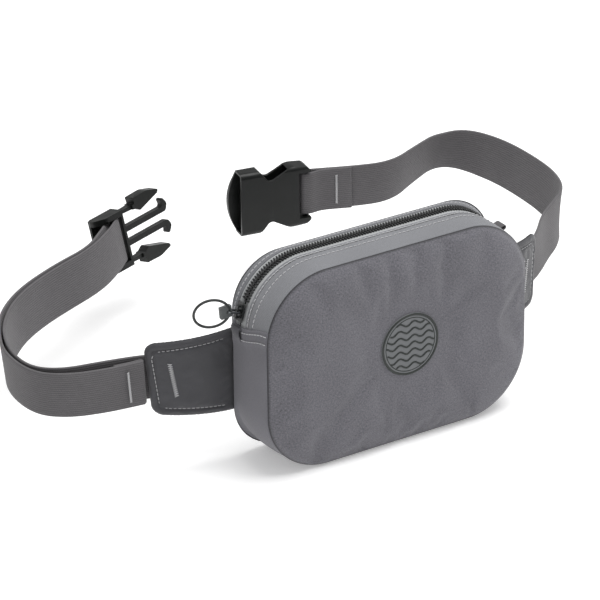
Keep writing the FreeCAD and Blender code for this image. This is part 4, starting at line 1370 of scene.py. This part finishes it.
@dataclass
class EmblemPatch:
    """A plain rubber patch: a raised rim round a few raised waves."""

    middle: tuple[float, float] = (4 * MM, 73 * MM)
    face: float = -28 * MM
    base: float = 0.9 * MM
    rim: float = 0.85 * MM
    waves: int = 7
    wave_spacing: float = 5.0 * MM
    disc_steps: int = 96

    def build(self) -> None:
        """Build and dress the patch."""
        profile = np.array([(12, 0.9), (20.2, 0.9), (21.5, 0.88), (21.9, 0.6), (22.0, 0.2),
                            (22.0, -0.3)]) * MM
        steps = self.disc_steps
        turns = np.linspace(0, 2 * math.pi, steps, endpoint=False)
        rings = [self.place(np.stack([reach * np.cos(turns), reach * np.sin(turns)], axis=1), rise)
                 for reach, rise in profile]
        points = np.concatenate(rings + [self.place(np.zeros((1, 2)), self.base)])
        faces = grid_faces(len(rings), steps, wrap=True)
        faces += [((i + 1) % steps, i, len(points) - 1) for i in range(steps)]
        disc = make_mesh("emblem_patch_base", points, faces)
        Wardrobe.dress(disc, "patch")
        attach(disc, "bag")
        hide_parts("emblem_patch")
        bundle = Bundle()
        for reach, thick in ((21.0 * MM, self.rim), (18.9 * MM, 0.35 * MM)):
            bundle.add(self.ring(reach, thick))
        for number in range(self.waves):
            bundle.add(self.wave((number - (self.waves - 1) / 2) * self.wave_spacing))
        lines = bundle.piece("emblem_patch_waves")
        Wardrobe.dress(lines, "raised")
        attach(lines, "bag")
        LOG.info("emblem patch built")

    def place(self, flat: Array, rise: float) -> Array:
        """Put points of the patch's plane in space, raised from its face."""
        return np.stack([flat[:, 0] + self.middle[0], np.full(len(flat), self.face - rise),
                         flat[:, 1] + self.middle[1]], axis=1)

    def ring(self, reach: float, thick: float) -> tuple[Array, Faces]:
        """A raised ring of a radius and thickness, as points and faces."""
        steps, sides = 120, 8
        turns = np.linspace(0, 2 * math.pi, steps, endpoint=False)
        round_off = np.linspace(0, 2 * math.pi, sides, endpoint=False)
        rings = []
        for turn in turns:
            away = reach + np.cos(round_off) * thick
            rings.append(np.stack([away * math.cos(turn) + self.middle[0],
                                   self.face - self.base - np.sin(round_off) * thick * 0.55,
                                   away * math.sin(turn) + self.middle[1]], axis=1))
        rings.append(rings[0].copy())
        return np.concatenate(rings), grid_faces(len(rings), sides, wrap=True)

    def wave(self, level: float) -> tuple[Array, Faces]:
        """One raised wave across the patch at a level from its middle."""
        half = math.sqrt(max(0.0, (18.7 * MM) ** 2 - level ** 2)) - 0.6 * MM
        across = np.linspace(-half, half, 60)
        up = level + 1.3 * MM * np.sin(across / (11 * MM) * 2 * math.pi)
        path = self.place(np.stack([across, up], axis=1), self.base + 0.02 * MM)
        return tube(path, 0.62 * MM, 8)


# ---------------------------------------------------------------- wings and belts


@dataclass
class Ribbon:
    """A flat strap with rounded edges, swept along a smooth route."""

    name: str
    controls: Array
    widths: Array
    wide: float
    thick: float
    step: float = 1.6 * MM
    flutter: float = 0.0
    seed: int = 3

    def line(self) -> tuple[Array, Array, Array]:
        """The strap's middle line.

        Returns:
            Its points, its directions of width and its face normals.
        """
        both = np.concatenate([self.controls, self.widths], axis=1)
        run = evenly(spline(both, 60 * len(self.controls)), self.step)
        middle, wide = run[:, :3], run[:, 3:]
        ahead = unit(np.gradient(middle, axis=0))
        wide = unit(wide - ahead * np.sum(wide * ahead, axis=1, keepdims=True))
        return middle, wide, np.cross(ahead, wide)

    def section(self) -> Array:
        """The strap's cross-section: across its width and over its face."""
        half, flat, count = self.wide / 2, self.thick / 2, 15
        across = np.linspace(-half + flat, half - flat, count)
        ends = np.linspace(-math.pi / 2, math.pi / 2, 5)[1:-1]
        upper = np.stack([across, np.full(count, flat)], axis=1)
        right = np.stack([half - flat + flat * np.cos(ends[::-1]), flat * np.sin(ends[::-1])], axis=1)
        lower = np.stack([across[::-1], np.full(count, -flat)], axis=1)
        left = np.stack([-half + flat - flat * np.cos(ends), flat * np.sin(ends)], axis=1)
        return np.concatenate([upper, right, lower, left])

    def mesh(self) -> bpy.types.Object:
        """Build the strap's mesh."""
        middle, wide, out = self.line()
        section = self.section()
        reach = np.concatenate([[0], np.cumsum(np.linalg.norm(np.diff(middle, axis=0), axis=1))])
        wobble = ripple(reach, 0 * reach, self.seed, 45 * MM) * self.flutter
        curl = ripple(reach, 0 * reach, self.seed + 1, 60 * MM) * self.flutter * 0.8
        rings, uv = [], []
        for place in range(len(middle)):
            across = section[:, :1]
            bow = wobble[place] + curl[place] * (across / (self.wide / 2)) ** 2
            rings.append(middle[place] + across * wide[place] + (section[:, 1:] + bow) * out[place])
            uv.append(np.stack([section[:, 0], np.full(len(section), reach[place])], axis=1))
        faces = capped(rings, len(section))
        return make_mesh(self.name, np.concatenate(rings), faces, np.concatenate(uv))

    def make(self, finish: str, body: str, hides: Sequence[str]) -> None:
        """Build and dress the strap, and let it ride on a body.

        Args:
            finish: the finish's name.
            body: the CAD body that it moves with.
            hides: the CAD nodes that it stands for.
        """
        piece = self.mesh()
        Wardrobe.dress(piece, finish)
        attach(piece, body)
        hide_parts(*hides)


class Side(Enum):
    """The two sides of the belt, with their signs along X."""

    LEFT = -1
    RIGHT = 1


@dataclass
class Wing:
    """A padded tab that carries one side's webbing."""

    side: Side
    root: tuple[float, float] = (-100.3 * MM, 25.8 * MM)
    length: float = 54.9 * MM
    turn: float = math.radians(37.1)
    root_height: float = 59 * MM
    end_height: float = 51 * MM
    level: float = 61 * MM
    thick: float = 4.2 * MM
    margin: float = 5 * MM
    tuck: float = 5 * MM
    lean: float = 0.09

    def on(self, along: Array, up: Array, off: Array) -> Array:
        """Points of the wing.

        Args:
            along: lengths from its root.
            up: heights from its middle.
            off: distances off its middle surface, towards the wearer.

        Returns:
            The points, mirrored for the right side.
        """
        radius = self.length / self.turn
        turn = along / radius
        x = self.root[0] - np.sin(turn) * (radius - off)
        y = self.root[1] + radius - np.cos(turn) * (radius - off)
        return np.stack([x * -self.side.value, y, self.level + up], axis=1)

    def edge(self, share: Array) -> Array:
        """The wing's outline, as (along, up) points, for Disc."""
        half = (self.length + self.tuck) / 2
        tall = self.root_height / 2
        flat = rounded(half, tall, 8 * MM)(share)
        near = flat[:, 0] < 0
        square = rounded(half, tall, 0.8 * MM)(share)
        flat = np.where(near[:, None], square, flat)
        along = flat[:, 0] + half - self.tuck
        share_out = np.clip(along / self.length, 0, 1)
        height = self.root_height + (self.end_height - self.root_height) * share_out
        up = flat[:, 1] * height / self.root_height
        return np.stack([along + self.lean * up * share_out, up], axis=1)

    def depth_inside(self, flat: Array) -> Array:
        """How far points lie inside the wing's outline."""
        rim = self.edge(np.linspace(0, 1, 500, endpoint=False))
        return np.min(np.linalg.norm(flat[:, None, :] - rim[None, :, :], axis=2), axis=1)

    def build(self) -> None:
        """Build and dress the wing, its topstitch and its tack."""
        name = self.side.name.lower()
        flat, _, faces = Disc(levels=26, crowding=1.25).lay(self.edge)
        deep = self.depth_inside(flat)
        swell = np.sqrt(np.clip(deep / (1.4 * MM), 0, 1)) * 0.72 + 0.28 * smooth_step(deep, 0, 4 * MM)
        channel = 0.5 * hump(deep, self.margin, 0.9 * MM)
        channel = channel * smooth_step(flat[:, 0], 2 * MM, 6 * MM)
        half = self.thick / 2 * np.maximum(swell - channel, 0.02)
        uneven = ripple(flat[:, 0], flat[:, 1], 41, 26 * MM) * 0.25 * MM * smooth_step(deep, 6 * MM, 12 * MM)
        outer = self.on(flat[:, 0], flat[:, 1], -half - uneven)
        inner = self.on(flat[:, 0], flat[:, 1], half)
        count = len(flat)
        both = np.concatenate([outer, inner])
        quads = faces + [tuple(corner + count for corner in face[::-1]) for face in faces]
        # Painted shade along the topstitch channel.
        painted_shade = np.tile(hump(deep, self.margin, 0.7 * MM) * 0.25, 2)
        piece = make_mesh(f"wing_{name}_pad", both, quads, np.concatenate([flat, flat]), painted_shade)
        self.close(piece)
        held = np.where((deep < 0.6 * MM) | (np.abs(deep - self.margin) < 0.7 * MM), 1.0, 0.0)
        near_tack = np.hypot(flat[:, 0] - 38 * MM, flat[:, 1] / 2.6) < 5 * MM
        held = np.maximum(held, np.where(near_tack, 1.0, 0.0))
        room = np.minimum(0.8 * MM, deep / 3) * np.where(held > 0, 0.0, 1.0)
        settle(piece, np.tile(held, 2), 1.5, 0.01, np.tile(room, 2))
        Wardrobe.dress(piece, "wing")
        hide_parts(f"wing_{name}")
        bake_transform(piece)
        self.sew(name)
        LOG.info("wing_%s built", name)

    def close(self, piece: bpy.types.Object) -> None:
        """Turn the pad's faces outwards."""
        centre = Vector(np.mean([vertex.co for vertex in piece.data.vertices], axis=0))
        total = sum((polygon.center - centre).dot(polygon.normal) * polygon.area
                    for polygon in piece.data.polygons)
        if total < 0:
            piece.data.flip_normals()

    def sew(self, name: str) -> None:
        """Sew the topstitch round the wing and the slanted tack that holds the webbing."""
        stitches = Stitching(pitch=3.0 * MM, length=2.0 * MM, radius=0.26 * MM)
        inset = self.margin
        up = self.end_height / 2 - inset
        low_root, end = self.root_height / 2 - inset, self.length - inset
        slope = (low_root - up) / end
        start, turn = 2 * MM, 6 * MM
        angles = np.linspace(0, math.pi / 2, 7)
        upper = [(end + self.lean * up - turn * (1 - math.sin(a)), up - turn + turn * math.cos(a))
                 for a in angles]
        lower = [(end - self.lean * up - turn * (1 - math.cos(a)), -up + turn - turn * math.sin(a))
                 for a in angles]
        foot = (start, -low_root + slope * start)
        route = np.array([(start, low_root - slope * start)] + upper + lower + [foot])
        run = evenly(np.concatenate([route, np.zeros((len(route), 1))], axis=1), 0.6 * MM)
        off = self.thick / 2 * 0.62
        for face in (-1, 1):
            path = self.on(run[:, 0], run[:, 1], np.full(len(run), face * off))
            beyond = self.on(run[:, 0], run[:, 1], np.full(len(run), face * (off + 1 * MM)))
            stitches.row(path, unit(beyond - path))
        along = np.array([40.5 * MM, 36.5 * MM])
        heights = np.array([12 * MM, -12 * MM])
        top, foot = self.on(along, heights, np.full(2, -self.thick / 2 - 0.15 * MM))
        out = unit(self.on(along, heights, np.full(2, -5 * MM)) - np.array([top, foot]))[0]
        across = unit(np.cross(unit(foot - top), out))
        stitches.zigzag(top, foot, across, out, 2.6 * MM, 1.5 * MM)
        thread = stitches.bundle.piece(f"wing_stitching_{name}")
        Wardrobe.dress(thread, "thread")
        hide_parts(f"wing_tack_{name}")
        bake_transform(thread)


@dataclass
class Belts:
    """Both sides of the webbing, their folded ends and bartacks."""

    wide: float = 32 * MM
    thick: float = 1.9 * MM
    level: float = 61 * MM
    ply: float = 3.2 * MM
    flutter: float = 0.25 * MM

    def joint(self, name: str) -> tuple[Array, Array]:
        """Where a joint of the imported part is, and its axis."""
        found = next(joint for joint in frame["joints"] if joint["name"] == name)
        return np.array(found["pos_m"]), unit(np.array(found["axis"]))

    def build(self) -> None:
        """Build and dress both belts."""
        self.left()
        self.right()
        LOG.info("belts built")

    def controls(self, rows: Sequence[tuple[float, float]],
                 widths: Sequence[tuple[float, float, float]]) -> tuple[Array, Array]:
        """Control points at the belt's level from plan points in millimetres, with width directions."""
        plan = np.array(rows) * MM
        points = np.stack([plan[:, 0], plan[:, 1], np.full(len(plan), self.level)], axis=1)
        return points, unit(np.array(widths, float))

    def left(self) -> None:
        """The left webbing: out to the buckle's bar, round it, and back outside itself."""
        bar, lean = self.joint("buckle_swivel")
        plan = np.array([29.22, 31.27, 0.0])
        ahead = unit(plan - lean * plan.dot(lean))
        aside = np.cross(lean, ahead)
        out_points, out_widths = self.controls(
            [(-132.5, 36.5), (-143, 42.5), (-155, 48.5), (-180, 54), (-205, 59.5), (-219.5, 73), (-219.5, 99),
             (-210, 126), (-192, 152), (-165, 173), (-131, 190), (-99, 202.5)],
            [(0, 0, 1)] * 4 + [(-0.02, 0, 1), (-0.05, 0, 1), (-0.07, 0.0, 0.99), (-0.1, 0.05, 0.99),
                               (-0.1, 0.12, 0.98), (-0.1, 0.2, 0.97), (-0.1, 0.26, 0.96),
                               (-0.11, 0.22, 0.97)])
        turn = [(-17, -1), (-8, -1), (0, -1), (1, -1), (1, 1), (0, 1), (-8, 1), (-17, 1)]
        loop = np.array([bar + ahead * (a * MM if abs(a) > 1.5 else a * self.ply) + aside * b * self.ply
                         for a, b in turn])
        back_points, back_widths = self.controls(
            [(-98, 206), (-131, 194), (-167, 176.5), (-195, 154.5), (-213, 127.5), (-223.5, 98), (-222, 66),
             (-206, 50.5), (-182, 43.8), (-164, 41), (-157.5, 40.4), (-155.2, 40.3), (-155.0, 42.4),
             (-157.5, 42.6), (-166, 43), (-175, 44.6)],
            [(-0.11, 0.22, 0.97), (-0.1, 0.26, 0.96), (-0.1, 0.2, 0.97), (-0.1, 0.12, 0.98),
             (-0.1, 0.05, 0.99), (-0.08, 0, 0.99), (-0.06, 0, 1), (-0.04, 0, 1)] + [(-0.05, 0, 1)] * 8)
        points = np.concatenate([out_points, loop, back_points])
        widths = np.concatenate([out_widths, np.tile(lean, (len(loop), 1)), back_widths])
        strap = Ribbon("belt_left_webbing", points, widths, self.wide, self.thick,
                       flutter=self.flutter, seed=7)
        strap.make("webbing", "left_belt", ["belt_left"])
        spot = np.array([-167.0, 39.2, 61.0]) * MM
        self.bartack("belt_tack_left_thread", spot, np.array([0.03, -1.0, 0.0]),
                     np.array([-0.07, 0.0, 1.0]), "left_belt", "belt_tack_left")

    def right(self) -> None:
        """The right webbing: round to the socket's bar and sewn back against itself."""
        bar, _ = self.joint("socket_swivel")
        middle = bar / MM
        towards = unit(np.array([-59.8, 24.1]))
        aside = np.array([-towards[1], towards[0]])
        about = [(-2, -3.2), (0, -3.2), (3.2, -3.2), (3.2, 3.2), (0, 3.2), (-4, 3.0), (-9, 0.4),
                 (-14, -1.05), (-24, -1.1), (-34, -1.1)]
        turn = [tuple(middle[:2] + towards * a + aside * b) for a, b in about]
        rows = [(132.5, 36.5), (143, 42), (153, 47.5), (168, 59.5), (184, 75), (203, 89), (220, 106),
                (230, 135), (232, 167), (231, 200), (222, 229), (204, 239), (179, 228),
                (147.5, 212), (118, 220)]
        widths = [(0, 0, 1)] * 3 + [(0, 0.1, 0.99), (0.02, 0.24, 0.97), (0.12, 0.3, 0.95),
                                    (0.25, 0.2, 0.95), (0.36, 0.06, 0.93), (0.38, -0.04, 0.92),
                                    (0.34, 0, 0.94), (0.17, -0.2, 0.96), (-0.08, -0.28, 0.96),
                                    (-0.04, -0.2, 0.98), (0, -0.05, 1), (0, 0, 1)]
        points, leans = self.controls(rows + turn, widths + [(0, 0, 1)] * len(turn))
        strap = Ribbon("belt_right_webbing", points, leans, self.wide, self.thick,
                       flutter=self.flutter, seed=17)
        strap.make("webbing", "right_belt", ["belt_right"])
        low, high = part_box("belt_tack_right")
        spot = np.array((low + high) / 2)
        out = unit(np.array([aside[0], aside[1], 0.0]))
        self.bartack("belt_tack_right_thread", spot - out * 0.1 * MM, out,
                     np.array([0.0, 0.0, 1.0]), "right_belt", "belt_tack_right")

    def bartack(self, name: str, spot: Array, out: Array, up: Array, body: str, hides: str) -> None:
        """A straight dense tack across a belt.

        Args:
            name: its name.
            spot: its middle, on the webbing.
            out: the webbing's outward normal.
            up: the direction of its length.
            body: the CAD body that it moves with.
            hides: the CAD node that it stands for.
        """
        up, out = unit(up), unit(out)
        stitches = Stitching(radius=0.22 * MM)
        across = np.cross(up, out)
        half = up * 11 * MM
        stitches.zigzag(spot + half, spot - half, across, out, 1.5 * MM, 0.8 * MM)
        thread = stitches.bundle.piece(name)
        Wardrobe.dress(thread, "thread")
        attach(thread, body)
        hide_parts(hides)


# ---------------------------------------------------------------- moulded and metal parts


@dataclass
class Hardware:
    """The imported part's own hard pieces, with softened edges and real finishes."""

    finishes: dict[str, tuple[str, float]] = field(default_factory=lambda: {
        "buckle_frame": ("buckle", 0.7 * MM), "latch_upper": ("buckle", 1.3 * MM),
        "latch_lower": ("buckle", 1.3 * MM), "socket_case": ("buckle", 0.8 * MM),
        "zip_slider": ("slider", 0.25 * MM), "pull_link": ("link", 0.0),
        "pull_cord": ("cord", 0.0), "pull_sleeve": ("sleeve", 0.5 * MM),
        "back_pad": ("foam", 0.0), "front_binding": ("inner", 0.0), "rear_binding": ("inner", 0.0)})

    def build(self) -> None:
        """Dress each piece, and soften the edges of those that have a size for it."""
        for name, (finish, soften) in self.finishes.items():
            piece = frame["nodes"][name]
            Wardrobe.dress(piece, finish)
            if soften:
                weld = piece.modifiers.new("weld", "WELD")
                weld.merge_threshold = 0.005 * MM
                soft = piece.modifiers.new("soften", "BEVEL")
                soft.width, soft.segments = soften, 3
                soft.limit_method, soft.angle_limit = "ANGLE", math.radians(38)
                soft.harden_normals = False
            LOG.info("%s dressed", name)


# ---------------------------------------------------------------- studio


@dataclass
class Studio:
    """Camera, soft lights and a plain pale floor."""

    azimuth: float = math.radians(-31.823)
    elevation: float = math.radians(26.387)
    roll: float = math.radians(0.748)
    distance: float = 2.5
    aim: tuple[float, float, float] = (-0.0618, 0.0, 0.11109)
    lens: float = 234.0
    sensor: float = 36.0
    reach: float = 20.0
    floor_half: float = 6.0
    floor_level: float = -0.5 * MM
    sky: float = 0.52
    key: float = 30.0
    fill: float = 0.6

    def build(self) -> None:
        """Set up the camera, the lights and the floor."""
        self.camera()
        self.floor()
        self.light("key_light", (0.35, -0.15, 1.75), 1.3, self.key)
        self.light("fill_light", (-1.3, -0.9, 0.9), 1.2, self.fill)
        world = bpy.data.worlds.new("studio_sky")
        world.use_nodes = True
        sky = world.node_tree.nodes["Background"]
        sky.inputs["Color"].default_value = (1, 1, 1, 1)
        sky.inputs["Strength"].default_value = self.sky
        bpy.context.scene.world = world
        bpy.context.scene.view_settings.view_transform = "Standard"

    def camera(self) -> None:
        """Place the camera."""
        a, e, r = self.azimuth, self.elevation, self.roll
        back = Vector((math.sin(a) * math.cos(e), -math.cos(a) * math.cos(e), math.sin(e)))
        level = Vector((math.cos(a), math.sin(a), 0))
        above = back.cross(level)
        right = level * math.cos(r) - above * math.sin(r)
        up = level * math.sin(r) + above * math.cos(r)
        camera = bpy.data.objects.new("camera", bpy.data.cameras.new("camera"))
        camera.data.lens, camera.data.sensor_width, camera.data.clip_end = self.lens, self.sensor, self.reach
        place = Matrix((right, up, back)).transposed().to_4x4()
        place.translation = Vector(self.aim) + back * self.distance
        camera.matrix_world = place
        bpy.context.scene.collection.objects.link(camera)
        bpy.context.scene.camera = camera

    def light(self, name: str, place: tuple[float, float, float], size: float, power: float) -> None:
        """Add one soft square light that faces the object."""
        lamp = bpy.data.objects.new(name, bpy.data.lights.new(name, "AREA"))
        lamp.data.energy, lamp.data.size = power, size
        lamp.location = place
        lamp.rotation_euler = (Vector((0, 0.05, 0.06)) - Vector(place)).to_track_quat("-Z", "Y").to_euler()
        bpy.context.scene.collection.objects.link(lamp)

    def floor(self) -> None:
        """Lay the floor."""
        material = bpy.data.materials.new("pale_floor")
        material.use_nodes = True
        graph = Graph(material.node_tree)
        shader = material.node_tree.nodes["Principled BSDF"]
        where = graph.node("TexCoord").outputs["Object"]
        cloudy = graph.blend(graph.noise(where, 3.0), (0.93, 0.93, 0.93, 1), (0.95, 0.95, 0.95, 1))
        graph.put(shader.inputs["Base Color"], cloudy)
        shader.inputs["Roughness"].default_value = 0.9
        shader.inputs["Emission Color"].default_value = (1, 1, 1, 1)
        shader.inputs["Emission Strength"].default_value = 0.25
        shader.inputs["Specular IOR Level"].default_value = 0.1
        half, level = self.floor_half, self.floor_level
        points = np.array([(-half, -half, level), (half, -half, level), (half, half, level),
                           (-half, half, level)])
        floor = make_mesh("floor", points, [(0, 1, 2, 3)])
        floor.data.materials.append(material)


def main() -> None:
    """Build every sub-assembly in order."""
    logging.basicConfig(level=logging.INFO, format="%(name)s: %(message)s")
    BagShell().build()
    Zip().build()
    EmblemPatch().build()
    for side in Side:
        Wing(side).build()
    Belts().build()
    Hardware().build()
    Studio().build()
    bpy.context.view_layer.update()


if __name__ == "__main__":
    main()
